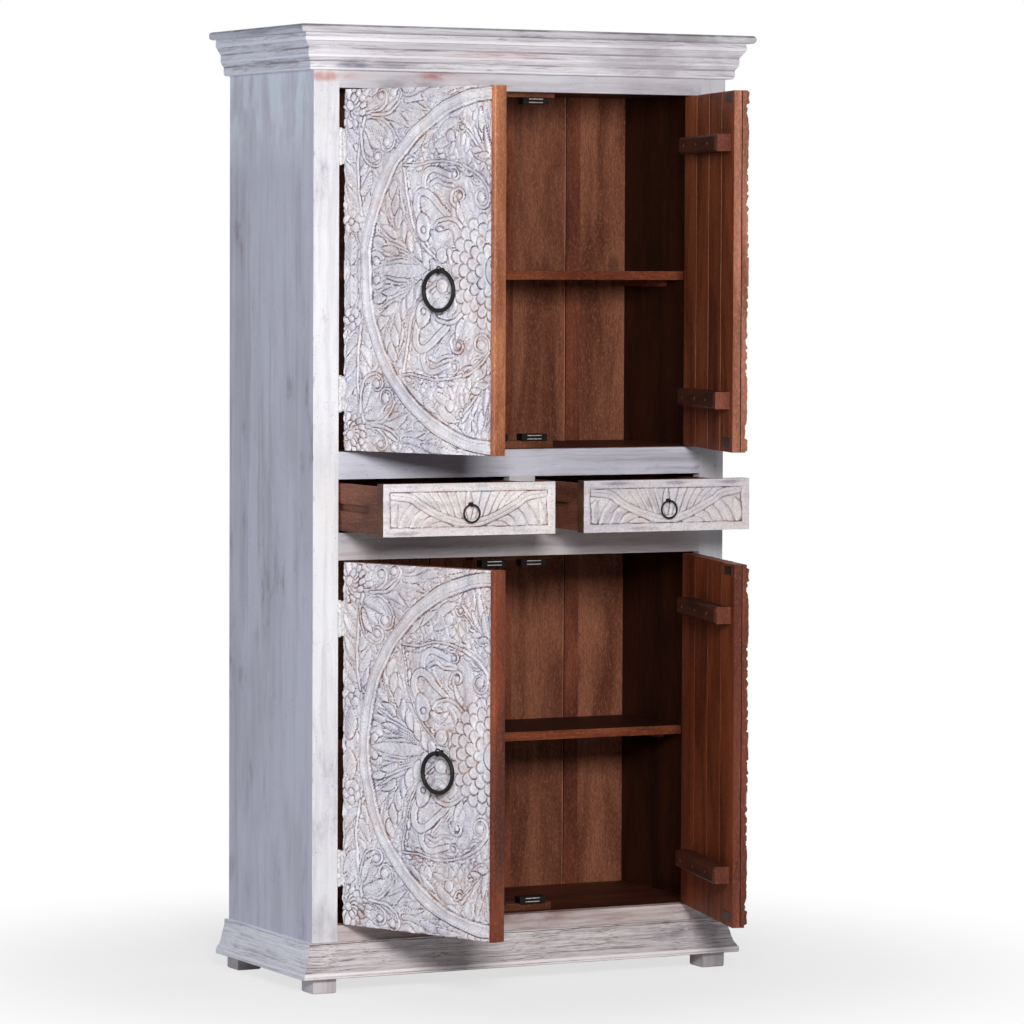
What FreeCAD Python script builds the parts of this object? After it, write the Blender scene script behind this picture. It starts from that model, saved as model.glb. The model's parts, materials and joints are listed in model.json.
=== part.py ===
import FreeCAD, Part
import os

from FreeCAD import Vector

# Tall cupboard with two pairs of doors and two drawers between them. Millimetres.
# X runs to the right seen from the front, the front faces -Y and Z is up. The origin
# is on the floor, under the middle of the case. Doors stand open and drawers stand
# pulled out, as they are shown at rest.

# Case
case_width = 872.0
case_depth = 386.0
side_thick = 20.0
stile_width = 52.0
frame_thick = 24.0
foot_height = 29.0
bottom_rail_height = 96.0
lower_opening_height = 684.0
middle_rail_height = 51.0
drawer_opening_height = 100.0
upper_opening_height = 676.0
top_rail_height = 100.0
divider_width = 54.0

# Boards across the case
floor_board_thick = 18.0
floor_board_rise = 1.0
ceiling_board_thick = 16.0
ceiling_board_rise = 5.0
drawer_deck_thick = 16.0
shelf_thick = 17.0
shelf_setback = 125.0
upper_shelf_height = 338.0
lower_shelf_height = 335.0
shelf_end_gap = 0.5
cleat_height = 13.0
cleat_width = 15.0
cleat_chamfer = 5.0
cleat_setback = 68.0

# Back
back_board_thick = 12.0
back_recess = 4.0
muntin_width = 31.0
muntin_pitch = 149.0
muntin_proud = 4.0
muntin_count = 5

# Cornice and base mouldings
cap_thick = 15.0
cap_overhang = 44.0
cap_nose_radius = 6.5
cornice_height = 68.0
cornice_out = 30.4
base_height = 66.0
base_out = 28.0

# Feet
foot_width = 48.0
foot_depth = 50.0
foot_side_proud = 3.0
foot_front_proud = 11.0
foot_chamfer = 2.0

# Doors
door_gap = 3.0
meeting_gap = 3.0
door_end_gap = 3.0
carved_panel_thick = 15.5
plank_thick = 14.0
plank_count = 4
plank_gap = 0.6
plank_chamfer = 1.2
bead_width = 9.5
bead_round = 9.0
batten_depth = 31.0
batten_height = 32.0
batten_from_hinge = 74.0
batten_from_free = 25.0
batten_from_end = 96.0
batten_chamfer = 4.0
batten_screw_radius = 4.0
batten_screw_head = 3.0
batten_bore_radius = 4.5
batten_bore_depth = 5.0
batten_screw_shares = (0.14, 0.48, 0.79)
upper_left_open_angle = 68.4
lower_left_open_angle = 68.0
upper_right_open_angle = 75.0
lower_right_open_angle = 75.8

# Hinges
hinge_length = 65.0
hinge_from_end = 73.0
hinge_knuckles = 5
knuckle_radius = 3.5
knuckle_gap = 0.3
knuckle_face_gap = 0.2
leaf_thick = 1.3
leaf_width = 16.0
leaf_setback = 0.3
pin_radius = 1.8
pin_running_gap = 0.05
pin_head_radius = 2.6
pin_head_height = 1.6

# Ring pulls
door_ring_outer = 81.0
door_ring_bar = 8.0
door_ring_from_meeting = 127.0
door_ring_standoff = 12.0
door_eye_wire = 2.6
door_eye_slack = 0.9
door_rose_radius = 4.6
door_shank_radius = 2.4
drawer_ring_outer = 36.0
drawer_ring_bar = 3.6
drawer_ring_standoff = 8.0
drawer_ring_drop_share = 0.41
drawer_eye_wire = 2.0
drawer_eye_slack = 0.4
drawer_rose_radius = 3.8
drawer_shank_radius = 1.5
eye_running_gap = 0.2
rose_thick = 1.6

# Drawers
drawer_gap = 1.5
drawer_front_thick = 27.0
drawer_box_length = 320.0
drawer_side_inset = 2.0
drawer_side_thick = 13.0
drawer_side_drop = 6.0
drawer_side_lift = 3.0
drawer_bottom_thick = 6.0
drawer_bottom_lift = 8.0
groove_height = 14.0
groove_depth = 6.0
groove_front_stop = 40.0
runner_gap = 0.5
runner_end_gap = 3.0
guide_height = 40.0
pull_left = 192.0
pull_right = 198.0

# Magnetic catches
catch_block_length = 169.0
catch_block_depth = 34.0
catch_block_thick = 14.0
catch_block_setback = 38.0
catch_length = 54.0
catch_height = 13.0
catch_depth = 22.0
catch_from_middle = 42.0
catch_to_strike = 0.5
catch_plate_length = 30.0
catch_plate_thick = 1.6
catch_plate_proud = 0.3
strike_length = 52.0
strike_height = 16.0
strike_thick = 1.2

# Cuts run past the solid by this much
overrun = 2.0

# Moulding outlines: share of the projection, then share of the height, from the bottom.
# A third value marks the middle point of an arc.
cornice_shares = (
    (0.34, 0.0), (0.44, 0.05), (0.44, 0.24), (0.55, 0.31), (0.64, 0.38), (0.65, 0.59),
    (0.79, 0.68, "arc"), (0.98, 0.8), (1.0, 0.86), (0.96, 1.0),
)
base_shares = (
    (0.95, 0.0), (1.0, 0.07), (0.98, 0.14), (0.84, 0.24), (0.61, 0.43, "arc"), (0.48, 0.66),
    (0.45, 0.7), (0.38, 0.8), (0.35, 0.85), (0.35, 1.0),
)

# Planes that several pieces share
half_width = case_width / 2
front_y = -case_depth / 2
back_y = case_depth / 2
inner_half = half_width - side_thick
opening_half = half_width - stile_width
frame_back_y = front_y + frame_thick
back_face_y = back_y - back_recess - back_board_thick
muntin_face_y = back_face_y - muntin_proud
lower_sill_z = foot_height + bottom_rail_height
lower_head_z = lower_sill_z + lower_opening_height
drawer_sill_z = lower_head_z + middle_rail_height
drawer_head_z = drawer_sill_z + drawer_opening_height
upper_sill_z = drawer_head_z + middle_rail_height
upper_head_z = upper_sill_z + upper_opening_height
case_top_z = upper_head_z + top_rail_height
bottom_board_z = lower_sill_z + floor_board_rise
upper_floor_z = upper_sill_z + floor_board_rise
lower_ceiling_z = lower_head_z + ceiling_board_rise
ceiling_z = upper_head_z + ceiling_board_rise
drawer_deck_z = lower_ceiling_z + drawer_deck_thick
upper_shelf_z = upper_sill_z + upper_shelf_height
lower_shelf_z = lower_sill_z + lower_shelf_height
shelf_front_y = front_y + shelf_setback
cleat_front_y = shelf_front_y + cleat_setback

# Door values worked out from the openings
door_thick = carved_panel_thick + plank_thick
door_width = opening_half - door_gap - meeting_gap / 2
hinge_half = opening_half - door_gap / 2
hinge_axis_y = front_y - knuckle_radius - knuckle_face_gap
door_inner_y = front_y + door_thick

doors = {
    "door_upper_left": (-1, upper_left_open_angle, upper_sill_z, upper_head_z),
    "door_upper_right": (1, upper_right_open_angle, upper_sill_z, upper_head_z),
    "door_lower_left": (-1, lower_left_open_angle, lower_sill_z, lower_head_z),
    "door_lower_right": (1, lower_right_open_angle, lower_sill_z, lower_head_z),
}
drawers = {
    "drawer_left": (-1, pull_left),
    "drawer_right": (1, pull_right),
}


def block(x0, x1, y0, y1, z0, z1):
    """A box between two corners, whichever order the corners come in."""
    low = Vector(min(x0, x1), min(y0, y1), min(z0, z1))
    return Part.makeBox(abs(x1 - x0), abs(y1 - y0), abs(z1 - z0), low)


def rod(radius, length, start, direction):
    """A round bar from a start point along a direction."""
    return Part.makeCylinder(radius, length, start, direction)


def eased(shape, size, picks):
    """Chamfers the edges that the test picks."""
    edges = [edge for edge in shape.Edges if picks(edge)]
    return shape.makeChamfer(size, edges)


def save(name, solids):
    """Writes one sub-part, as one solid or as a group of separate solids."""
    shape = solids[0] if len(solids) == 1 else Part.makeCompound(solids)
    shape.exportStep(os.path.join("parts", name + ".step"))
    print(name, len(solids), round(shape.Volume))


def save_placed(name, solids, place):
    """Writes a sub-part of a moving body where it stands at rest."""
    save(name, [place(solid) for solid in solids])


# Case

def make_frame():
    """Sides, and the front frame of stiles, rails and the post between the drawers."""
    for name, side in (("left", -1), ("right", 1)):
        outer = side * half_width
        save("side_" + name, [block(outer, side * inner_half, frame_back_y, back_y,
                                    foot_height, case_top_z)])
        save("stile_" + name, [block(outer, side * opening_half, front_y, frame_back_y,
                                     foot_height, case_top_z)])
    rails = {
        "rail_bottom": (foot_height, lower_sill_z),
        "rail_below_drawers": (lower_head_z, drawer_sill_z),
        "rail_above_drawers": (drawer_head_z, upper_sill_z),
        "rail_top": (upper_head_z, case_top_z),
    }
    for name, (low, high) in rails.items():
        save(name, [block(-opening_half, opening_half, front_y, frame_back_y, low, high)])
    half_post = divider_width / 2
    save("drawer_divider", [block(-half_post, half_post, front_y, frame_back_y,
                                  drawer_sill_z, drawer_head_z)])


def make_boards():
    """Floors, the deck under the drawers and the ceiling, from side to side."""
    boards = {
        "bottom_board": (bottom_board_z - floor_board_thick, bottom_board_z),
        "drawer_deck_board": (lower_ceiling_z, drawer_deck_z),
        "upper_floor_board": (upper_floor_z - floor_board_thick, upper_floor_z),
        "ceiling_board": (ceiling_z, ceiling_z + ceiling_board_thick),
    }
    for name, (low, high) in boards.items():
        save(name, [block(-inner_half, inner_half, frame_back_y, muntin_face_y, low, high)])


def make_back():
    """Upright back boards between narrow muntins that stand a little proud of them."""
    low = bottom_board_z - floor_board_thick
    half_muntin = muntin_width / 2
    middle = (muntin_count - 1) / 2
    centres = [muntin_pitch * (index - middle) for index in range(muntin_count)]
    muntins = [block(x - half_muntin, x + half_muntin, muntin_face_y, back_y, low, case_top_z)
               for x in centres]
    edges = [-inner_half]
    for x in centres:
        edges += [x - half_muntin, x + half_muntin]
    edges.append(inner_half)
    boards = [block(edges[index], edges[index + 1], back_face_y,
                    back_face_y + back_board_thick, low, case_top_z)
              for index in range(0, len(edges), 2)]
    save("back_muntins", muntins)
    save("back_boards", boards)


def make_shelves():
    """One loose shelf in each compartment, on a cleat at each end."""
    cleats = []
    for name, top in (("shelf_upper", upper_shelf_z), ("shelf_lower", lower_shelf_z)):
        low = top - shelf_thick
        reach = inner_half - shelf_end_gap
        save(name, [block(-reach, reach, shelf_front_y, muntin_face_y, low, top)])
        for side in (-1, 1):
            cleat = block(side * inner_half, side * (inner_half - cleat_width),
                          cleat_front_y, muntin_face_y, low - cleat_height, low)

            def front_lower(edge, low=low):
                box = edge.BoundBox
                flat = box.XLength > cleat_width / 2
                return flat and box.YMax < cleat_front_y + overrun and box.ZMax < low - overrun

            cleats.append(eased(cleat, cleat_chamfer, front_lower))
    save("shelf_cleats", cleats)


# Mouldings

def outline(shares, out, height, low):
    """A closed moulding section in the YZ plane, with its back on Y = 0 and -Y outwards."""
    points = [Vector(0, -share[0] * out, low + share[1] * height) for share in shares]
    edges = [Part.LineSegment(Vector(0, 0, low), points[0]).toShape()]
    index = 0
    while index < len(points) - 1:
        if len(shares[index + 1]) == 3:
            arc = Part.Arc(points[index], points[index + 1], points[index + 2])
            edges.append(arc.toShape())
            index += 2
        else:
            edges.append(Part.LineSegment(points[index], points[index + 1]).toShape())
            index += 1
    top = Vector(0, 0, low + height)
    edges.append(Part.LineSegment(points[-1], top).toShape())
    edges.append(Part.LineSegment(top, Vector(0, 0, low)).toShape())
    return Part.Face(Part.Wire(edges))


def plan_prism(corners, low, height):
    """An upright prism over a plan outline."""
    points = [Vector(x, y, low) for x, y in corners]
    return Part.Face(Part.makePolygon(points + points[:1])).extrude(Vector(0, 0, height))


def moulding(shares, out, height, low):
    """Front piece and two side pieces, mitred at the front corners."""
    section = outline(shares, out, height, low)
    span = case_width + 2 * out
    front = section.translated(Vector(-span / 2, front_y, 0)).extrude(Vector(span, 0, 0))
    trapezium = [(-half_width, front_y), (half_width, front_y),
                 (half_width + out, front_y - out), (-half_width - out, front_y - out)]
    front = front.common(plan_prism(trapezium, low, height))
    sides = []
    for side in (-1, 1):
        turned = section.rotated(Vector(0, 0, 0), Vector(0, 0, 1), side * 90)
        start = Vector(side * half_width, front_y - out, 0)
        strip = turned.translated(start).extrude(Vector(0, case_depth + out, 0))
        corners = [(side * half_width, front_y), (side * (half_width + out), front_y - out),
                   (side * (half_width + out), back_y), (side * half_width, back_y)]
        sides.append(strip.common(plan_prism(corners, low, height)).Solids[0])
    return front.Solids[0], sides


def make_mouldings():
    """Cornice with its cap board, and the base moulding."""
    front, sides = moulding(cornice_shares, cornice_out, cornice_height,
                            case_top_z - cornice_height)
    save("cornice_front", [front])
    save("cornice_sides", sides)
    reach = half_width + cap_overhang
    cap = block(-reach, reach, front_y - cap_overhang, back_y, case_top_z,
                case_top_z + cap_thick)

    def nose(edge):
        box = edge.BoundBox
        level = box.ZLength < overrun
        at_back = box.YMin > back_y - overrun
        return level and not at_back

    radius = min(cap_nose_radius, cap_thick * 0.45)
    cap = cap.makeFillet(radius, [edge for edge in cap.Edges if nose(edge)])
    save("cornice_cap", [cap])
    front, sides = moulding(base_shares, base_out, base_height, foot_height)
    save("base_front", [front])
    save("base_sides", sides)


def make_feet():
    """Four block feet under the corners."""
    feet = []
    for side in (-1, 1):
        outer = side * (half_width + foot_side_proud)
        inner = outer - side * foot_width
        front = front_y - foot_front_proud
        for near in (front, back_y - foot_depth):
            foot = block(outer, inner, near, near + foot_depth, 0, foot_height)

            def lower_rim(edge):
                return edge.BoundBox.ZMax < foot_height / 2

            feet.append(eased(foot, foot_chamfer, lower_rim))
    save("feet", feet)


# Door furniture on the case

def catch_rows():
    """Where each catch block stands: the board's face and which way it grows."""
    return (
        (ceiling_z, -1),
        (upper_floor_z, 1),
        (lower_ceiling_z, -1),
        (bottom_board_z, 1),
    )


def make_catches():
    """A wooden block and two magnetic catches at the top and bottom of each opening."""
    blocks = []
    catches = []
    half = catch_block_length / 2
    near = front_y + catch_block_setback
    front = door_inner_y + strike_thick + catch_to_strike
    for face, way in catch_rows():
        blocks.append(block(-half, half, near, near + catch_block_depth, face,
                            face + way * catch_block_thick))
        low = face + way * catch_block_thick
        high = low + way * catch_height
        for side in (-1, 1):
            x0 = side * catch_from_middle - catch_length / 2
            housing = block(x0, x0 + catch_length, front + catch_plate_proud,
                            front + catch_depth, low, high)
            x0 = side * catch_from_middle - catch_plate_length / 2
            for share in (0.25, 0.75):
                z = low + way * catch_height * share
                plate = block(x0, x0 + catch_plate_length, front, front + catch_depth,
                              z - catch_plate_thick / 2, z + catch_plate_thick / 2)
                housing = housing.fuse(plate)
            catches.append(housing.removeSplitter().Solids[0])
    save("catch_blocks", blocks)
    save("magnet_catches", catches)


def door_span(sill, head):
    """The lower and upper end of a door in its opening."""
    return sill + door_end_gap, head - door_end_gap


def hinge_starts(sill, head):
    """The lower end of each of a door's two hinges."""
    low, high = door_span(sill, head)
    return low + hinge_from_end, high - hinge_from_end - hinge_length


def knuckle_spans(start, own):
    """The knuckles of one leaf: even ones are the door's, odd ones the stile's."""
    pitch = hinge_length / hinge_knuckles
    for index in range(own, hinge_knuckles, 2):
        yield start + pitch * index + knuckle_gap / 2, pitch - knuckle_gap


def hinge_leaf(side, start, own):
    """One hinge leaf with its knuckles: own is 0 on the door and 1 on the stile."""
    near = 0.0 if own else door_gap - leaf_thick
    x0 = side * (opening_half - near)
    x1 = side * (opening_half - near - leaf_thick)
    plate_y = front_y + leaf_setback
    leaf = block(x0, x1, plate_y, plate_y + leaf_width, start, start + hinge_length)
    axis_x = side * hinge_half
    for z, length in knuckle_spans(start, own):
        centre = Vector(axis_x, hinge_axis_y, z)
        leaf = leaf.fuse(rod(knuckle_radius, length, centre, Vector(0, 0, 1)))
        leaf = leaf.fuse(block(x0, x1, hinge_axis_y, plate_y + leaf_setback, z, z + length))
    base = Vector(axis_x, hinge_axis_y, start - overrun)
    bore = rod(pin_radius + pin_running_gap, hinge_length + 2 * overrun, base, Vector(0, 0, 1))
    return leaf.cut(bore).Solids[0]


def hinge_pin(side, start):
    """A pin through all knuckles, with a head at each end."""
    axis = Vector(0, 0, 1)
    x = side * hinge_half
    low = start - knuckle_gap - pin_head_height
    length = hinge_length + 2 * (knuckle_gap + pin_head_height)
    pin = rod(pin_radius, length, Vector(x, hinge_axis_y, low), axis)
    for z in (low, start + hinge_length + knuckle_gap):
        pin = pin.fuse(rod(pin_head_radius, pin_head_height, Vector(x, hinge_axis_y, z), axis))
    return pin.removeSplitter().Solids[0]


def make_stile_hinges():
    """The stile leaves and the pins of all eight hinges."""
    leaves = []
    pins = []
    for side, angle, sill, head in doors.values():
        for start in hinge_starts(sill, head):
            leaves.append(hinge_leaf(side, start, 1))
            pins.append(hinge_pin(side, start))
    save("stile_hinge_leaves", leaves)
    save("hinge_pins", pins)


# Ring pulls

def ring_eye(x, face_y, z, ring_bar, standoff, wire, slack, rose_radius, shank_radius):
    """A rose, a short shank and the loop that the ring hangs in, at the loop's foot."""
    outward = Vector(0, -1, 0)
    inner = ring_bar / 2 + eye_running_gap + slack
    loop_z = z + slack
    centre = Vector(x, face_y - standoff, loop_z)
    loop = Part.makeTorus(inner + wire / 2, wire / 2, centre, Vector(1, 0, 0))
    rose = rod(rose_radius, rose_thick, Vector(x, face_y, loop_z), outward)
    shank_length = standoff - inner - wire / 2
    shank = rod(shank_radius, shank_length, Vector(x, face_y, loop_z), outward)
    return loop.fuse([rose, shank]).removeSplitter().Solids[0]


def ring_pull(x, face_y, z, outer, bar, standoff):
    """A plain ring that hangs from its eye, flat to the face."""
    radius = (outer - bar) / 2
    centre = Vector(x, face_y - standoff, z - radius)
    return Part.makeTorus(radius, bar / 2, centre, Vector(0, 1, 0))


# Doors

def make_door(name, side, angle, sill, head):
    """A carved panel on upright planks, two battens, iron fittings and a ring pull."""
    low, high = door_span(sill, head)
    pivot = Vector(side * hinge_half, hinge_axis_y, 0)

    def place(shape):
        return shape.rotated(pivot, Vector(0, 0, 1), side * angle)

    def at(s):
        return side * (opening_half - s)

    start = door_gap
    free = door_gap + door_width
    has_bead = side < 0
    edge = free - bead_width if has_bead else free
    plank_y = front_y + carved_panel_thick
    save_placed(name + "_carved_panel",
                [block(at(start), at(edge), front_y, plank_y, low, high)], place)
    plank_width = (edge - start - plank_gap * (plank_count - 1)) / plank_count

    def long_inner_rim(item):
        box = item.BoundBox
        return box.ZLength > plank_width and box.YMin > door_inner_y - overrun

    planks = []
    for index in range(plank_count):
        s = start + index * (plank_width + plank_gap)
        plank = block(at(s), at(s + plank_width), plank_y, door_inner_y, low, high)
        planks.append(eased(plank, plank_chamfer, long_inner_rim))
    save_placed(name + "_planks", planks, place)
    if has_bead:
        bead = block(at(edge), at(free), front_y, door_inner_y, low, high)

        def outer_corner(item):
            box = item.BoundBox
            upright = box.ZLength > bead_width
            return upright and box.XMin > at(free) - overrun and box.YMax < front_y + overrun

        picked = [item for item in bead.Edges if outer_corner(item)]
        save_placed(name + "_meeting_bead", [bead.makeFillet(bead_round, picked)], place)

    batten_back = door_inner_y + batten_depth
    left = start + batten_from_hinge
    right = free - batten_from_free
    half = batten_height / 2
    battens = []
    iron = []
    for z in (low + batten_from_end, high - batten_from_end):
        batten = block(at(left), at(right), door_inner_y, batten_back, z - half, z + half)

        def back_rim(item):
            return item.BoundBox.YMin > batten_back - overrun

        batten = eased(batten, batten_chamfer, back_rim)
        for share in batten_screw_shares:
            x = at(left + (right - left) * share)
            mouth = Vector(x, batten_back + overrun, z)
            bore = rod(batten_bore_radius, batten_bore_depth + overrun, mouth, Vector(0, -1, 0))
            batten = batten.cut(bore)
            seat = Vector(x, batten_back - batten_bore_depth, z)
            iron.append(rod(batten_screw_radius, batten_screw_head, seat, Vector(0, 1, 0)))
        battens.append(batten.Solids[0])
    save_placed(name + "_battens", battens, place)

    for z in hinge_starts(sill, head):
        iron.append(hinge_leaf(side, z, 0))
    strike_x = side * catch_from_middle
    block_thick = catch_block_thick + catch_height / 2
    for z in strike_heights(sill, block_thick):
        iron.append(block(strike_x - strike_length / 2, strike_x + strike_length / 2,
                          door_inner_y, door_inner_y + strike_thick,
                          z - strike_height / 2, z + strike_height / 2))
    ring_x = at(free - door_ring_from_meeting)
    ring_z = (low + high) / 2
    iron.append(ring_eye(ring_x, front_y, ring_z, door_ring_bar, door_ring_standoff,
                         door_eye_wire, door_eye_slack, door_rose_radius, door_shank_radius))
    save_placed(name + "_iron_fittings", iron, place)
    ring = ring_pull(ring_x, front_y, ring_z, door_ring_outer, door_ring_bar,
                     door_ring_standoff)
    save_placed(name + "_ring", [ring], place)


def strike_heights(sill, reach):
    """The heights of a door's two strikes, level with the catches it closes on."""
    if sill == upper_sill_z:
        return upper_floor_z + reach, ceiling_z - reach
    return bottom_board_z + reach, lower_ceiling_z - reach


# Drawers

def drawer_middle(side):
    """The middle of a drawer's opening, across the case."""
    return side * (opening_half + divider_width / 2) / 2


def box_half_width():
    """Half the outer width of a drawer's box."""
    opening = opening_half - divider_width / 2
    return opening / 2 - drawer_gap - drawer_side_inset


def make_guides():
    """Guide rails beside each drawer, with a runner strip in each side groove."""
    solids = []
    z = groove_middle()
    low = z - guide_height / 2
    high = z + guide_height / 2
    half_post = divider_width / 2
    solids.append(block(-half_post, half_post, frame_back_y, muntin_face_y, low, high))
    reach = box_half_width() - groove_depth + runner_gap
    strip_low = z - groove_height / 2 + runner_gap
    strip_high = z + groove_height / 2 - runner_gap
    strip_front = front_y + drawer_front_thick + groove_front_stop + runner_end_gap
    for side in (-1, 1):
        solids.append(block(side * opening_half, side * inner_half, frame_back_y,
                            muntin_face_y, low, high))
        middle = drawer_middle(side)
        for face, tip in ((side * opening_half, middle + side * reach),
                          (side * half_post, middle - side * reach)):
            solids.append(block(face, tip, strip_front, muntin_face_y, strip_low, strip_high))
    save("drawer_guides", solids)


def groove_middle():
    """The height of the middle of the side grooves."""
    low = drawer_sill_z + drawer_gap + drawer_side_lift
    high = drawer_head_z - drawer_gap - drawer_side_drop
    return (low + high) / 2


def make_drawer(name, side, pull):
    """A thick front on a grooved box, with a small ring pull."""
    middle = drawer_middle(side)
    front_low = drawer_sill_z + drawer_gap
    front_high = drawer_head_z - drawer_gap
    low = front_low + drawer_side_lift
    high = front_high - drawer_side_drop
    half = box_half_width()
    face = front_y
    box_front = face + drawer_front_thick
    box_back = box_front + drawer_box_length

    def place(shape):
        return shape.translated(Vector(0, -pull, 0))

    half_front = half + drawer_side_inset
    save_placed(name + "_front", [block(middle - half_front, middle + half_front, face,
                                        box_front, front_low, front_high)], place)
    walls = []
    z = groove_middle()
    inner = half - drawer_side_thick
    for way in (-1, 1):
        wall = block(middle + way * half, middle + way * inner, box_front, box_back, low, high)
        groove = block(middle + way * (half + overrun), middle + way * (half - groove_depth),
                       box_front + groove_front_stop, box_back + overrun,
                       z - groove_height / 2, z + groove_height / 2)
        walls.append(wall.cut(groove).Solids[0])
    walls.append(block(middle - inner, middle + inner, box_back - drawer_side_thick,
                       box_back, low, high))
    walls.append(block(middle - inner, middle + inner, box_front,
                       box_back - drawer_side_thick, low + drawer_bottom_lift,
                       low + drawer_bottom_lift + drawer_bottom_thick))
    save_placed(name + "_box", walls, place)
    ring_z = front_high - (front_high - front_low) * drawer_ring_drop_share
    eye = ring_eye(middle, face, ring_z, drawer_ring_bar, drawer_ring_standoff,
                   drawer_eye_wire, drawer_eye_slack, drawer_rose_radius, drawer_shank_radius)
    save_placed(name + "_ring_eye", [eye], place)
    ring = ring_pull(middle, face, ring_z, drawer_ring_outer, drawer_ring_bar,
                     drawer_ring_standoff)
    save_placed(name + "_ring", [ring], place)


os.makedirs("parts", exist_ok=True)
make_frame()
make_boards()
make_back()
make_shelves()
make_mouldings()
make_feet()
make_catches()
make_stile_hinges()
make_guides()
for door_name, door_values in doors.items():
    make_door(door_name, *door_values)
for drawer_name, drawer_values in drawers.items():
    make_drawer(drawer_name, *drawer_values)
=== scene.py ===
import json
from math import atan2, copysign, cos, hypot, pi, radians, sin

import bpy
import numpy as np
from mathutils import Matrix, Vector


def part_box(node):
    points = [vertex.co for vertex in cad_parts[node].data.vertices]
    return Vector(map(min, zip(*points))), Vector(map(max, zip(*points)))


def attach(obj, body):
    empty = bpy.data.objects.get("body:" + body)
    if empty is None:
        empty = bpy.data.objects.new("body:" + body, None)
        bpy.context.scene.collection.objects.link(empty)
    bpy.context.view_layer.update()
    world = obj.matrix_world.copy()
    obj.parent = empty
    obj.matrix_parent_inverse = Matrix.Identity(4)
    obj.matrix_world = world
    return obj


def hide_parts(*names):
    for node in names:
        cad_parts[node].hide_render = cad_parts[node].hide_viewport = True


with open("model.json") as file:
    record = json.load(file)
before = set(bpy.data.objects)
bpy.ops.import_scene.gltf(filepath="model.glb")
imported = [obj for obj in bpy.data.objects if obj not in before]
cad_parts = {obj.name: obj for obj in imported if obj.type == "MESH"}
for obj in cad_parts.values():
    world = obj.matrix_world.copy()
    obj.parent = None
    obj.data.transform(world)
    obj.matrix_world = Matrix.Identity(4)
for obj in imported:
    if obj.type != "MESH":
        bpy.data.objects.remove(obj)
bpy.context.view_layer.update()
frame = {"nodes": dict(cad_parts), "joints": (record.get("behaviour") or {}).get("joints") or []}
nodes = frame["nodes"]
joints = {joint["name"]: joint for joint in frame["joints"]}
scene = bpy.context.scene

MM = 0.001
X, Y, Z = (1, 0, 0), (0, 1, 0), (0, 0, 1)


def corners_mm(name):
    """A node's lowest and highest corners in mm, to a tenth."""
    return [[round(value / MM, 1) for value in corner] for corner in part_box(name)]


# Sizes of the case

stile_low, stile_high = corners_mm("stile_right")
half_width, front_y, frame_back_y = stile_high[0], stile_low[1], stile_high[1]
side_low, side_high = corners_mm("side_right")
inner_x, back_y = side_low[0], side_high[1]
cap_half = corners_mm("cornice_cap")[1][0]


# Shader helpers

def srgb(r, g, b):
    """A colour picked in 0 to 255 screen values, as linear RGBA."""
    out = []
    for c in (r, g, b):
        c /= 255
        out.append(c / 12.92 if c <= 0.04045 else ((c + 0.055) / 1.055) ** 2.4)
    return (*out, 1)


def placed(name, data):
    """A new object in the scene."""
    ob = bpy.data.objects.new(name, data)
    scene.collection.objects.link(ob)
    return ob


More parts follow.
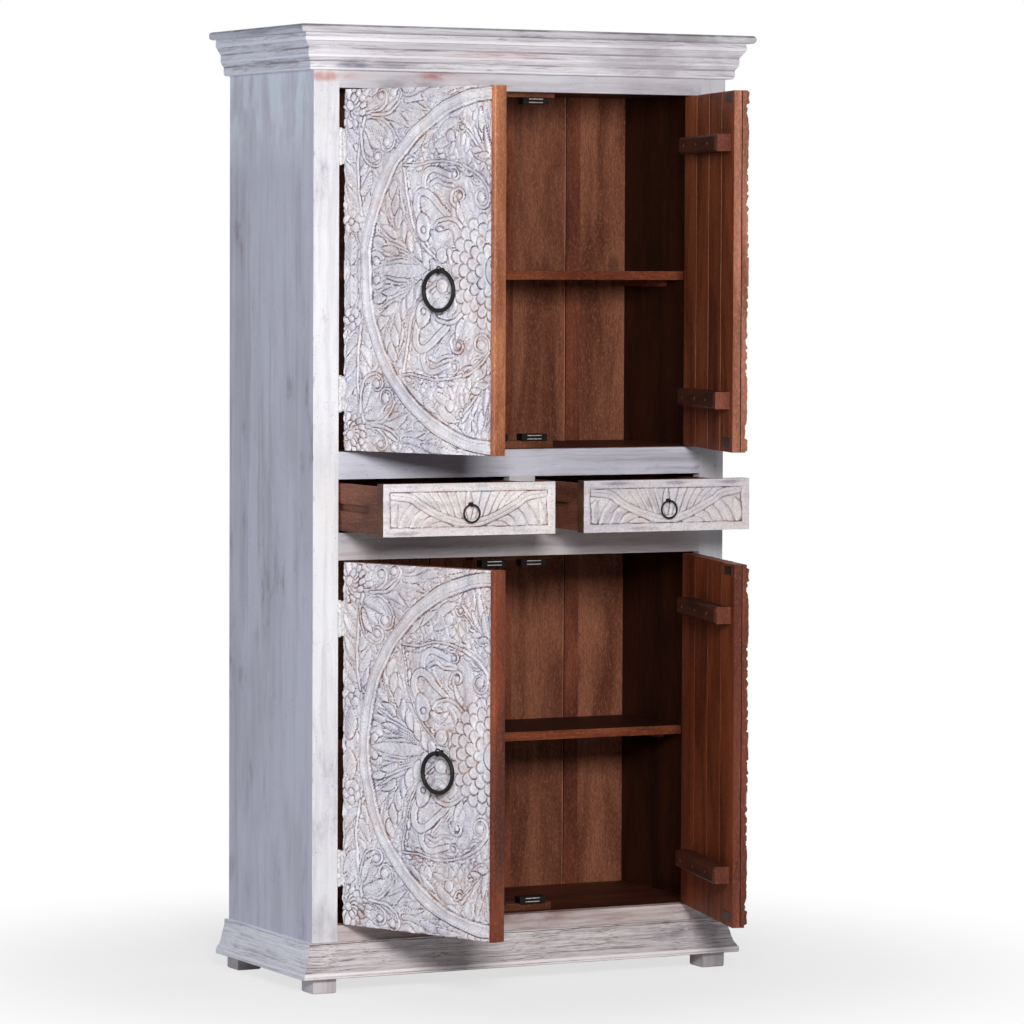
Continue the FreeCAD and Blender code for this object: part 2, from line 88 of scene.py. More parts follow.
class Shader:
    """The nodes of a material or world. Values may be numbers, tuples or other nodes' outputs."""

    def __init__(self, owner):
        owner.use_nodes = True
        self.owner = owner
        self.tree = owner.node_tree

    def add(self, kind, inputs=None, **settings):
        node = self.tree.nodes.new("ShaderNode" + kind)
        for key, value in settings.items():
            setattr(node, key, value)
        for key, value in (inputs or {}).items():
            self.set(node, key, value)
        return node

    def set(self, node, key, value):
        if isinstance(value, bpy.types.NodeSocket):
            self.tree.links.new(value, node.inputs[key])
        else:
            node.inputs[key].default_value = value

    def math(self, operation, *values):
        return self.add("Math", dict(enumerate(values)), operation=operation).outputs[0]

    def times(self, a, b):
        return self.math("MULTIPLY", a, b)

    def vector(self, operation, *values):
        node = self.add("VectorMath", dict(enumerate(values)), operation=operation)
        return node.outputs["Value" if operation in ("DOT_PRODUCT", "LENGTH") else "Vector"]

    def scaled(self, vector, factor):
        return self.add("VectorMath", {0: vector, "Scale": factor}, operation="SCALE").outputs["Vector"]

    def ramp(self, value, low, high, to_low=0, to_high=1):
        node = self.add("MapRange", {"Value": value, "From Min": low, "From Max": high,
                                     "To Min": to_low, "To Max": to_high}, interpolation_type="SMOOTHSTEP")
        return node.outputs["Result"]

    def noise(self, vector, scale, detail, rough=0.5, distortion=0):
        return self.add("TexNoise", {"Vector": vector, "Scale": scale, "Detail": detail,
                                     "Roughness": rough, "Distortion": distortion}).outputs[0]

    def along(self, place, grain, across_scale, along_scale):
        """The place stretched so that a pattern runs along the grain direction."""
        grain = tuple(Vector(grain).normalized())
        share = self.vector("DOT_PRODUCT", place, grain)
        line = self.scaled(grain, share)
        rest = self.vector("SUBTRACT", place, line)
        return self.vector("ADD", self.scaled(rest, across_scale), self.scaled(line, along_scale))

    def drawn(self, place, grain, across_scale, along_scale, *more):
        """Noise drawn out along the grain."""
        return self.noise(self.along(place, grain, across_scale, along_scale), 1, *more)

    def mix(self, factor, a, b, blend="MIX"):
        node = self.add("Mix", {"Factor": factor}, data_type="RGBA", blend_type=blend)
        for key, tone in ((6, a), (7, b)):
            self.set(node, key, tone if isinstance(tone, bpy.types.NodeSocket) else srgb(*tone))
        return node.outputs[2]

    def lay(self, factor, tone, gain=1, lift=0):
        """Lays a tone over the colour so far; one in screen values may be made lighter or darker."""
        if not isinstance(tone, bpy.types.NodeSocket):
            tone = [min(c * gain + lift, 255) for c in tone]
        self.colour = self.mix(factor, self.colour, tone)

    def place(self, seed=0):
        place = self.add("TexCoord").outputs["Object"]
        return self.vector("ADD", place, (seed, seed * 0.7, seed * 1.3)) if seed else place

    def seen(self):
        """1 for rays from the camera, mirrored or through glass, which see a plain white surround."""
        rays = self.add("LightPath").outputs
        indirect = self.math("MAXIMUM", rays["Is Glossy Ray"], rays["Is Transmission Ray"])
        return self.math("MAXIMUM", rays["Is Camera Ray"], indirect)

    def finish(self, rough, shine, height, distance, strength, metal=0):
        base = self.tree.nodes["Principled BSDF"]
        for key, value in (("Base Color", self.colour), ("Roughness", rough),
                           ("Specular IOR Level", shine), ("Metallic", metal)):
            self.set(base, key, value)
        if height is not None:
            bump = self.add("Bump", {"Height": height, "Strength": strength, "Distance": distance})
            self.set(base, "Normal", bump.outputs[0])
        return self.owner


# Materials

def brown(name, grain, light, dark, seed, board=None, gain=1, contrast=0.34, wear_and_highlight_edge=0, gloss=0.15):
    """Stained mango wood: long figure, fine fibres, pores and knots.

    board gives each board of a row its own tone, by direction, start and pitch in metres. Past the worn edge
    distance from its middle, a board's edges are lightened, as wear and as a painted highlight. A gloss of
    0.2 or more is polished.
    """
    s = Shader(bpy.data.materials.new(name))
    place = s.place(seed)
    tone = 0.5
    if board:
        line, start, pitch = board
        share = s.vector("DOT_PRODUCT", s.place(), tuple(line))
        count = s.math("DIVIDE", s.math("SUBTRACT", share, start), pitch)
        number = s.math("FLOOR", count)
        pick = s.math("ADD", number, seed + 3.1)
        tone = s.add("TexWhiteNoise", {"W": pick}, noise_dimensions="1D").outputs["Value"]
        place = s.vector("ADD", place, s.scaled((1.7, 0.9, 2.3), number))
        offset = s.math("ABSOLUTE", s.math("SUBTRACT", s.math("FRACT", count), 0.5))
    figure = s.drawn(place, grain, 17, 3, 4, 0.55, 0.7)
    broad = s.drawn(place, grain, 5, 1.6, 2)
    fibre = s.drawn(place, grain, 300, 22, 2, 0.6)
    pores = s.drawn(place, grain, 760, 150, 1)
    grit = s.drawn(place, grain, 420, 150, 3, 0.75)
    knots = s.drawn(place, grain, 12, 4.6, 1)
    s.colour = s.mix(s.ramp(figure, 0.3, 0.7), dark, light)
    s.lay(s.ramp(broad, 0.42, 0.68, 0, 0.4), dark, 0.8)
    s.lay(s.ramp(fibre, 0.25, 0.75, 0.28, 0), dark, 0.62)
    s.lay(s.ramp(fibre, 0.6, 0.8, 0, 0.2), light, 1.25)
    s.lay(s.ramp(pores, 0.62, 0.7, 0, 0.4), dark, 0.42)
    s.lay(s.ramp(grit, 0.5, 0.72, 0, 0.34), light, 1.3, 8)
    s.lay(s.ramp(grit, 0.5, 0.3, 0, 0.34), dark, 0.6)
    s.lay(s.ramp(knots, 0.72, 0.8, 0, 0.5), dark, 0.5)
    # Board edges lightened, as wear and as a painted highlight where they catch the light.
    if wear_and_highlight_edge:
        worn = s.ramp(s.times(offset, pitch), wear_and_highlight_edge - 0.0022, wear_and_highlight_edge)
        s.lay(s.times(worn, s.ramp(figure, 0.3, 0.6, 0.2, 0.8)), light, 1.3, 16)
    shade = s.times(s.math("MULTIPLY_ADD", tone, contrast, 1 - contrast / 2), gain)
    grey = s.add("CombineColor", {0: shade, 1: shade, 2: shade}).outputs[0]
    s.colour = s.mix(1, s.colour, grey, "MULTIPLY")
    height = s.math("MULTIPLY_ADD", fibre, 0.6, s.times(figure, 0.5))
    rough = s.ramp(fibre, 0.2, 0.8, 0.62, 0.48) if gloss < 0.2 else 0.38
    return s.finish(rough, gloss, height, 0.0007, 0.5)


def white(name, grain, seed, streaks, smudges, rust, tone, far=(170, 162, 170), kind="plain", stains=(),
          edge=None, small=1):
    """White paint rubbed over brown wood: plain, carved (hollows with painted shade and dark lines, arrises
    with a painted highlight) or reeded (dirty streaks, reeds darkened as dirt and painted shade, arrises
    lightened as paint and painted highlight).

    far is the colour of the streaks, which small makes finer. A stain is its X, Z, half sizes in metres,
    strength and colour. edge wears the paint near a limit along an axis.
    """
    s = Shader(bpy.data.materials.new(name))
    place = s.place(seed)
    swirl = s.add("TexNoise", {"Vector": place, "Scale": 6}).outputs["Color"]
    warped = s.vector("ADD", place, s.scaled(swirl, 0.02))
    broad = s.drawn(warped, grain, 9, 2.4, 3, 0.55)
    cloud = s.drawn(warped, grain, 22, 9, 4, 0.6)
    band = s.drawn(warped, grain, 48 * small, 1.8 * small, 4, 0.6)
    streak = s.drawn(warped, grain, 150 * small, 3.2 * small, 3, 0.65)
    fine = s.drawn(warped, grain, 520 * small, 14 * small, 2, 0.6)
    speck = s.noise(place, 210, 2, 0.6)
    where = s.ramp(broad, 0.4, 0.66)
    soiled = [c - less for c, less in zip(tone, (10, 12, 5))]
    s.colour = s.mix(s.ramp(cloud, 0.35, 0.65, 0, 0.35), tone, soiled)
    bare = [c * 0.5 + t * 0.46 for c, t in zip(far, tone)]
    s.lay(s.ramp(broad, 0.42, 0.62, 0, smudges * 0.5), bare)
    banded = streaks * (0.45 if kind == "reeded" else 0.8)
    s.lay(s.ramp(band, 0.47, 0.68, 0, banded), far)
    much = s.math("MULTIPLY_ADD", where, 0.8, 0.2)
    s.lay(s.times(s.ramp(streak, 0.5, 0.74, 0, streaks * 0.8), much), far)
    much = s.ramp(cloud, 0.35, 0.6, 0.3, 1)
    s.lay(s.times(s.ramp(fine, 0.55, 0.8, 0, streaks * 0.7), much), (150, 138, 140))
    s.lay(s.times(s.ramp(cloud, 0.55, 0.72, 0, smudges), where), (140, 132, 146))
    s.lay(s.ramp(streak, 0.44, 0.28, 0, 0.5 * streaks), tone, 1, 14)
    spots = s.ramp(s.drawn(warped, grain, 46, 11, 3, 0.7), 0.62, 0.74)
    spots = s.times(spots, s.ramp(s.noise(place, 4.6, 1), 0.5, 0.64))
    s.lay(s.times(spots, rust), (148, 104, 88))
    spots = s.ramp(speck, 0.62, 0.72, 0, 0.18 if kind == "carved" else 0.45)
    s.lay(s.times(spots, s.ramp(cloud, 0.45, 0.6, 0.25, 1)), (158, 140, 136))
    height = s.math("MULTIPLY_ADD", streak, 0.5, s.times(fine, 0.4))
    bump = 0.45
    if kind != "plain":
        hollow = s.add("Attribute", attribute_name="hollow").outputs["Fac"]
    if kind == "reeded":
        dirt = s.drawn(warped, grain, 330 * small, 6 * small, 4, 0.7)
        much = s.ramp(band, 0.36, 0.56, 0.25, 1)
        s.lay(s.times(s.ramp(dirt, 0.48, 0.62, 0, 0.9 * streaks), much), far, 0.72)
        # Darker in the reeds, as dirt and painted shade.
        broken = s.ramp(s.drawn(warped, grain, 70, 8, 3), 0.4, 0.6, 0.25 * streaks, streaks)
        s.lay(s.times(s.ramp(hollow, 0.15, 0.7), broken), (98, 80, 80))
        # Lighter on the arrises, as lighter paint and a painted highlight.
        s.lay(s.ramp(hollow, -0.06, -0.35, 0, 0.9), tone, 1, 255 - max(tone))
    if kind == "carved":
        zone = s.ramp(s.noise(place, 9, 2), 0.42, 0.62)
        patch = s.noise(place, 38, 3, 0.65)
        s.lay(s.ramp(patch, 0.42, 0.62, 0, 0.42), s.mix(zone, (204, 202, 217), (216, 205, 203)))
        tones = s.mix(zone, (136, 128, 140), (150, 126, 116))
        for turn, most in (((0.7, 0.7, 0.7), 0.38), ((-0.6, -0.6, 0.75), 0.3)):
            scratch = s.drawn(warped, turn, 330, 40, 3, 0.65)
            s.lay(s.ramp(scratch, 0.53, 0.68, 0, most), tones)
        # Painted shade: a greyer tone over the carving's hollows.
        much = s.times(s.ramp(hollow, -0.1, 0.4), s.ramp(cloud, 0.4, 0.62, 0.25, 0.8))
        s.lay(much, s.mix(zone, (158, 154, 168), (176, 160, 153)))
        much = s.ramp(s.noise(place, 52, 2, 0.6), 0.38, 0.58, 0.22, 0.85)
        s.lay(s.times(s.ramp(hollow, 0.16, 0.5), much), s.mix(zone, (74, 60, 64), (112, 66, 46)))
        much = s.times(s.ramp(s.noise(place, 17, 3, 0.6), 0.58, 0.7), s.ramp(hollow, -0.1, 0.3, 0.15, 0.8))
        s.lay(s.times(much, rust), (152, 98, 74))
        # Painted highlight: near white on the carving's arrises.
        s.lay(s.ramp(hollow, -0.12, -0.6, 0, 0.8), (252, 251, 253))
        height = s.math("MULTIPLY_ADD", patch, 1.2, height)
        bump = 0.65
    if edge:
        axis, limit, width = edge
        near = s.math("ABSOLUTE", s.vector("DOT_PRODUCT", s.place(), tuple(axis)))
        much = s.ramp(s.drawn(place, grain, 150, 45, 3), 0.56, 0.68, 0, 0.6)
        s.lay(s.times(s.ramp(near, limit - width, limit), much), (176, 140, 132))
    for x, z, wide, tall, amount, stain in stains:
        spot = s.vector("MULTIPLY", s.vector("SUBTRACT", s.place(), (x, 0, z)), (1 / wide, 0, 1 / tall))
        much = s.ramp(cloud, 0.36, 0.6, 0.15 * amount, amount)
        s.lay(s.times(s.ramp(s.vector("LENGTH", spot), 1, 0.25), much), stain)
    return s.finish(0.62, 0.13, height, 0.0005, bump)


def plain(name, tone, rough, metal=0, shine=0.4, grit=0):
    """One tone with fine mottling; grit is the depth of its bumps."""
    s = Shader(bpy.data.materials.new(name))
    noise = s.noise(s.place(), 180, 3, 0.6)
    s.colour = s.mix(s.ramp(noise, 0.3, 0.7), [c * 0.75 for c in tone], tone)
    return s.finish(rough, shine, noise if grit else None, 0.0006, grit, metal)


# Carving

def curve(points, step=1.6):
    """Evenly spaced points on a smooth curve through the given ones."""
    p = np.array(points, float)
    ends = np.vstack([2 * p[0] - p[1], p, 2 * p[-1] - p[-2]])
    t = np.linspace(0, 1, 20, endpoint=False)[:, None]
    parts = []
    for a, b, c, d in zip(ends[:-3], ends[1:-2], ends[2:-1], ends[3:]):
        bend, twist = 2 * a - 5 * b + 4 * c - d, 3 * b - a - 3 * c + d
        parts.append(0.5 * (2 * b + (c - a) * t + bend * t ** 2 + twist * t ** 3))
    line = np.vstack(parts + [p[-1:]])
    run = np.r_[0, np.cumsum(np.hypot(*np.diff(line, axis=0).T))]
    s = np.linspace(0, run[-1], max(4, int(run[-1] / step)))
    return np.c_[np.interp(s, run, line[:, 0]), np.interp(s, run, line[:, 1])]


def polar(x, z, length, lean):
    """The place at a distance from X, Z in a direction in degrees."""
    a = radians(lean)
    return x + length * cos(a), z + length * sin(a)


def smoothed(a, sigma):
    """A Gaussian blur over both axes; sigma in grid cells."""
    n = max(1, int(3 * sigma))
    kernel = np.exp(-0.5 * (np.arange(-n, n + 1) / sigma) ** 2)
    kernel /= kernel.sum()
    for axis in (0, 1):
        pad = [(0, 0), (0, 0)]
        pad[axis] = (n, n)
        wide = np.pad(a, pad, mode="reflect")
        size = a.shape[axis]
        a = sum(w * np.take(wide, range(i, i + size), axis=axis) for i, w in enumerate(kernel))
    return a


EVERYWHERE = (slice(None), slice(None))


class Relief:
    """Heights in mm over a board's face, cut by laying shapes over one another as a carver would."""

    def __init__(self, xs, zs, seed, wobble, fold=None):
        self.rng = np.random.default_rng(seed)
        gx, gz = np.meshgrid(xs, zs)
        x, z = gx.copy(), gz.copy()
        phase = np.random.default_rng(seed).uniform(0, 2 * pi, (2, 2, 3))
        for n, size in enumerate((97, 41)):
            k = 2 * pi / size
            gain = wobble * (0.5, 0.22)[n]
            for m, axis in enumerate((x, z)):
                a, b, c = phase[n, m]
                axis += gain * (np.sin(k * gx + a) * np.cos(0.83 * k * gz + b) + np.sin(0.71 * k * gz + c))
        self.x = x if fold is None else fold - np.abs(x - fold)
        self.z = np.abs(z) if fold is None else z
        self.xs, self.zs = self.x[0], self.z[:, 0]
        self.whole = fold is not None
        self.rise = 1 if self.whole else 1.25
        self.h = np.zeros_like(x)

    def window(self, low, high, pad=5):
        """The part of the grid near a shape, or None where the shape is off the board."""
        if self.whole:
            return EVERYWHERE
        rows = np.nonzero((self.zs > low[1] - pad) & (self.zs < high[1] + pad))[0]
        cols = np.nonzero((self.xs > low[0] - pad) & (self.xs < high[0] + pad))[0]
        if not len(rows) or not len(cols):
            return None
        return (slice(rows[0], rows[-1] + 1), slice(cols[0], cols[-1] + 1))

    def lay(self, view, depth, height, rim=1.5, foot=0.3):
        """Lays a shape over what is there; depth is the distance in from its outline."""
        h = self.h[view]
        near = (depth <= 0) & (depth > -rim)
        h[near] = np.minimum(h[near], foot + 0.45 * h[near])
        inside = depth > 0
        h[inside] = np.maximum(self.rise * height, 0.1)[inside]

    def stroke(self, points, widths, top, edge=2.2, crown=0.35, vein=0, ribs=0, pitch=7, hollow=0,
               crest=None):
        """A raised band along a path with its own half-widths. A crest cuts it to two planes."""
        half = np.array(widths, float)
        view = self.window(points.min(0) - half.max(), points.max(0) + half.max())
        if view is None:
            return
        gx, gz = self.x[view][..., None], self.z[view][..., None]
        score = half - np.sqrt((gx - points[:, 0]) ** 2 + (gz - points[:, 1]) ** 2)
        index = score.argmax(-1)
        depth = np.take_along_axis(score, index[..., None], -1)[..., 0]
        tangent = np.gradient(points, axis=0)
        tangent /= np.maximum(np.hypot(*tangent.T), 1e-6)[:, None]
        dx, dz = gx[..., 0] - points[index, 0], gz[..., 0] - points[index, 1]
        side = dz * tangent[index, 0] - dx * tangent[index, 1]
        q = np.clip(side / np.maximum(half[index], 0.6), -1, 1)
        rise = np.clip(depth / edge, 0, 1)
        rise = rise * (2 - rise)
        if crest is None:
            height = top * rise * (1 - crown * q ** 2)
        else:
            height = top * rise * (1 - 0.8 * (np.abs(q - crest) / (1 + abs(crest))) ** 0.85)
        height -= hollow * rise * np.clip(1 - (q / 0.6) ** 2, 0, 1)
        height -= vein * rise * np.exp(-(side / 0.9) ** 2)
        if ribs:
            run = np.r_[0, np.cumsum(np.hypot(*np.diff(points, axis=0).T))]
            wave = np.abs(np.sin(pi * (run[index] - 0.8 * np.abs(side)) / pitch))
            height -= ribs * rise * (1 - wave) ** 1.6 * np.clip(np.abs(q) * 2.5, 0, 1)
        self.lay(view, depth, height)

    def leaf(self, points, width, top=3.8, fat=0.7, vein=0.9, ribs=1.2, pitch=6.5, **more):
        path = curve(points)
        t = np.linspace(0, 1, len(path))
        if vein and self.rng.uniform() < 0.7:
            more["crest"] = self.rng.choice((-1, 1)) * self.rng.uniform(0.1, 0.6)
            top, vein = top * 1.25, 0
        widths = width / 2 * np.sin(pi * t ** fat) ** 0.8
        self.stroke(path, widths, top, vein=vein, ribs=ribs, pitch=pitch, **more)

    def leaves(self, rows, top):
        """Leaves given as three X, Z places and a width each."""
        for *places, width in rows:
            self.leaf(np.reshape(places, (3, 2)), width, top)

    def stem(self, points, start, end, top=4.6, **more):
        path = curve(points)
        if "hollow" not in more:
            more.setdefault("crest", self.rng.choice((-1, 1)) * self.rng.uniform(0.3, 0.6))
        self.stroke(path, np.linspace(start / 2, end / 2, len(path)), top, crown=0.5, **more)

    def scroll(self, lead, centre, radius, begin, turns, start, end, top=4.6):
        """A stem that winds in to a round eye. Angles in degrees."""
        t = np.linspace(0, 1, max(6, int(abs(turns) * 12)))
        a = np.radians(begin) + 2 * pi * turns * t
        r = radius * (1 - 0.6 * t)
        spiral = np.c_[centre[0] + r * np.cos(a), centre[1] + r * np.sin(a)]
        self.stem(list(lead) + [tuple(p) for p in spiral], start, end, top)
        self.boss(*centre, radius * 0.42, top, 0.8)

    def boss(self, x, z, radius, top, ring=0):
        """A round button with a ring cut into it."""
        view = self.window((x - radius, z - radius), (x + radius, z + radius))
        if view is None:
            return
        t = np.hypot(self.x[view] - x, self.z[view] - z) / radius
        height = top * (1 - np.clip(t, 0, 1) ** 4) ** 0.5 - ring * np.exp(-((t - 0.5) / 0.15) ** 2)
        self.lay(view, radius * (1 - t), height)

    def spray(self, points, count, length, width, lean, side, top, taper=0.3, start=0.03, end=0.97):
        """Overlapping leaflets along one side of a path."""
        path = curve(points)
        tangent = np.gradient(path, axis=0)
        tangent /= np.hypot(*tangent.T)[:, None]
        for k in range(count):
            share = start + (end - start) * (count - 1 - k) / max(1, count - 1)
            i = int(share * (len(path) - 1))
            out = np.array([-tangent[i, 1], tangent[i, 0]]) * side
            a = radians(lean + self.rng.uniform(-4, 4))
            way = tangent[i] * cos(a) + out * sin(a)
            reach = length * (1 - taper * (2 * share - 1) ** 2) * way
            middle = path[i] + 0.5 * reach + 0.1 * length * out
            self.leaf([path[i], middle, path[i] + reach], width, top, ribs=0.9)


# Distance of the medallion's centre from the hinge edge, and the eased rear edge of a board, in mm
MEDAL = 381
EASE = 1.8


def inside(polygon, x, z):
    """Whether a point lies in a polygon."""
    hit = False
    for (ax, az), (bx, bz) in zip(polygon, polygon[1:] + polygon[:1]):
        if (az > z) != (bz > z) and x < (bx - ax) * (z - az) / (bz - az) + ax:
            hit = not hit
    return hit


HEART_SIDE = ((150, 192), (158, 152), (166, 112), (180, 76), (204, 44), (232, 22))
HEART_TOP = ((150, 192), (186, 192), (226, 199), (270, 197), (310, 183), (345, 160))


def filler(r):
    """Low broad leaves over the ground, so that little of it stays plain."""
    heart = list(HEART_SIDE[::-1]) + list(HEART_TOP[1:]) + [(360, 120)]
    row = 0
    for z in np.arange(4, 345, 15):
        row += 1
        for x in np.arange(-4 + 9 * (row % 2), 384, 18):
            px, pz = x + r.rng.uniform(-4, 4), z + r.rng.uniform(-4, 4)
            out = hypot(px - MEDAL, pz)
            if out < 100:
                continue
            field = inside(heart, px, pz) and out > 110
            if field:
                a = r.rng.uniform(0.3, 1.1) + (px > 265) * 1.3
            elif out < 322:
                a = atan2(pz, px - MEDAL) + r.rng.uniform(-0.5, 0.5)
            else:
                a = atan2(pz - 296, px - 18) + r.rng.uniform(-0.5, 0.5)
            dx, dz = 17 * cos(a), 17 * sin(a)
            width = r.rng.uniform(14, 20)
            top = r.rng.uniform(0.9, 1.6) if field else r.rng.uniform(1.5, 2.9)
            middle = (px + 0.2 * dz, pz - 0.2 * dx)
            r.leaf([(px - dx, pz - dz), middle, (px + dx, pz + dz)], width, top, ribs=0.9)


def spandrels(r):
    """Outside the ring: corner flower, scrolls, vine, rosette and bud near the hinge edge."""
    r.leaves((
        (42, 120, 22, 132, 4, 160, 20), (40, 158, 20, 172, 2, 204, 22), (40, 200, 20, 214, 2, 246, 22),
        (42, 236, 22, 248, 4, 270, 20), (42, 112, 58, 128, 62, 156, 18), (42, 140, 58, 156, 70, 182, 20),
        (40, 176, 52, 190, 58, 216, 18), (54, 262, 72, 238, 96, 224, 22), (54, 272, 84, 262, 112, 244, 22),
        (48, 256, 56, 228, 76, 208, 20), (60, 286, 112, 290, 164, 262, 24),
        (100, 292, 150, 306, 208, 292, 22), (150, 310, 184, 318, 222, 316, 20),
        (196, 318, 226, 326, 262, 324, 18), (236, 326, 266, 334, 300, 334, 15),
        (150, 322, 180, 330, 214, 338, 18), (140, 336, 164, 332, 190, 346, 16)), 3.4)
    r.stem([(44, 104), (37, 150), (37, 206), (42, 250), (52, 282)], 6.5, 7.5)
    r.scroll([(58, 284), (92, 280), (116, 264), (127, 246)], (106, 236), 20, 10, -0.8, 8.5, 5)
    r.scroll([(42, 262), (46, 226), (58, 200), (78, 191)], (84, 210), 18, -70, 0.75, 8, 5)
    r.scroll([(56, 288), (84, 292), (104, 304)], (94, 320), 17, -40, 0.7, 8, 5)
    r.scroll([(70, 286), (110, 290), (136, 306)], (126, 326), 19, -40, 0.7, 8, 5)
    for length, size, count, top, turn in ((40, 17, 9, 4.2, 0), (24, 15, 7, 4.6, 8)):
        for k in range(count):
            root, tip = (polar(16, 304, reach, -95 + 24 * k + turn) for reach in (6, length))
            r.leaf([root, tip], size, top, fat=1.3, ribs=0, vein=0.5)
    r.boss(16, 304, 9, 5.2, 1)
    for k in range(5):
        r.boss(*polar(21, 90, 13, 72 * (k + 0.3)), 10.5, 4)
    r.boss(21, 90, 7, 5, 1)
    r.leaf([(17, 8), (19, 34), (20, 66)], 32, 3.8, fat=1.1, vein=1.2, pitch=9)


def sprays(r):
    """Inside the ring: the fans that point at the hinge and up, and sprigs beside them."""
    r.leaves((
        (118, 98, 112, 124, 104, 154, 22), (130, 104, 134, 130, 128, 162, 20), (112, 84, 96, 96, 80, 118, 20),
        (104, 66, 88, 74, 72, 92, 18), (132, 84, 120, 98, 112, 116, 18), (146, 92, 142, 118, 140, 146, 18),
        (200, 236, 226, 262, 262, 282, 24), (236, 250, 262, 268, 292, 274, 20),
        (180, 228, 204, 244, 236, 262, 20), (262, 282, 282, 292, 306, 304, 18),
        (226, 226, 254, 238, 282, 240, 18), (164, 216, 186, 232, 204, 250, 16)), 3.2)
    for k in range(6):
        x = 212 - 3 * k
        tip = polar(x, 4, 148 - 10 * k, 151 + 5 * k)
        middle = (x + 3 + 0.55 * (tip[0] - x), 9 + 0.5 * (tip[1] - 4))
        r.leaf([(214 - 6 * k, 4), middle, tip], 17, 3.8, ribs=0.7)
    for x, z, length, lean, width in ((134, 60, 46, 152, 18), (160, 66, 44, 136, 17), (108, 44, 44, 166, 18),
                                      (178, 44, 40, 146, 15), (100, 22, 38, 176, 17), (140, 30, 48, 168, 17)):
        r.leaf([(x, z), polar(x, z + 4, length / 2, lean), polar(x, z, length, lean)], width, 4.2)
    r.leaf([(222, -3), (150, -2), (70, 0)], 30, 4.4, vein=1.3, ribs=1, pitch=12, fat=0.9)
    r.boss(124, 104, 9, 4.4, 0.8)
    r.boss(82, 16, 8, 4.4, 0.8)
    r.stem([(126, 100), (150, 86), (172, 62), (198, 32)], 4, 6, 3.8)
    # The upright fan at the meeting edge
    for k in range(7):
        x, z, length, lean = 374 - 3 * k, 176 + 4 * k, 118 - 11 * k, 92 + 9.5 * k
        r.leaf([(x, z), polar(x - 4, z, length / 2, lean), polar(x, z, length, lean)], 18, 3.8)
    for x, z, length, lean in (
            (340, 220, 50, 112), (350, 250, 48, 104), (322, 240, 46, 124), (360, 210, 56, 100)):
        r.leaf([(x, z), polar(x - 3, z, length / 2, lean), polar(x, z, length, lean)], 17, 4.2)
    r.leaf([(383, 118), (383, 200), (381, 300)], 24, 4.4, vein=1.2, ribs=0.9, pitch=12, fat=0.9)
    r.scroll([(372, 130), (364, 176), (345, 212), (318, 244), (298, 262)], (294, 262), 12, 150, 0.7, 8, 5)
    r.boss(266, 246, 11, 4.4, 1)


def heart(r):
    """The motif between two fans: rows of leaflets round a plain field with three scrolls."""
    r.spray([(126, 194), (130, 152), (142, 110), (162, 72), (196, 36), (226, 12)], 9, 40, 20, 24, -1, 3.4)
    r.spray([(146, 190), (154, 150), (163, 110), (177, 75), (202, 43), (230, 20)], 10, 26, 14, 152, 1, 3.8)
    r.spray([(136, 198), (180, 204), (225, 210), (270, 208), (312, 192), (352, 160)],
            9, 42, 20, 148, -1, 3.4)
    r.spray([(150, 194), (186, 196), (226, 203), (270, 201), (310, 187), (345, 164)],
            10, 27, 15, 150, -1, 3.8)
    r.spray([(376, 118), (374, 150), (364, 180), (344, 204), (316, 220)], 7, 30, 15, 152, -1, 3.8)
    r.stem(HEART_SIDE, 6.5, 8, 5.2)
    r.stem(HEART_TOP, 6, 7, 5.2)
    r.scroll([(300, 190), (336, 172), (358, 150)], (341, 134), 22, 30, -1, 8, 5, 5)
    # The scrolls in the field, from the top one down
    for k in range(4):
        line = [(218 + 3 * k, 168 - 7 * k), (238 + 2 * k, 148 - 7 * k), (264 - 2 * k, 118 - 5 * k)]
        r.stem(line, 7.5, 5, 3.2)
    r.stem([(204, 138), (199, 160), (206, 178), (224, 184), (246, 178), (264, 172)], 15, 11, 4.6,
           hollow=1.5)
    r.stem([(216, 158), (232, 164), (250, 156), (272, 154)], 9, 7, 4.4)
    r.scroll([(262, 186), (274, 186)], (276, 174), 12, 80, -0.7, 7, 5, 5)
    r.stem([(258, 104), (236, 120), (214, 138), (196, 144), (183, 136), (181, 116), (190, 96), (198, 84)],
           14, 17, 4.8, hollow=1.6)
    r.leaf([(191, 108), (199, 88), (204, 56)], 36, 5, fat=1.3, vein=0, ribs=0, hollow=1.8)
    r.boss(202, 74, 6, 4.2)
    r.scroll([(304, 82), (290, 98), (280, 116), (268, 126), (272, 142)],
             (287, 136), 14, 130, -0.7, 8.5, 6, 5)
    r.leaf([(298, 88), (286, 108), (281, 130)], 15, 4)
    r.scroll([(300, 74), (284, 90), (262, 97), (238, 92)], (241, 73), 17, 120, 0.6, 10, 6, 5)
    r.leaf([(220, 70), (240, 60), (264, 74)], 20, 4.4)
    r.leaf([(262, 84), (276, 66), (278, 44)], 16, 2.8)
    r.boss(246, 27, 14, 4.6, 1.2)
    r.leaf([(262, 38), (268, 24), (266, 8)], 14, 3.6)


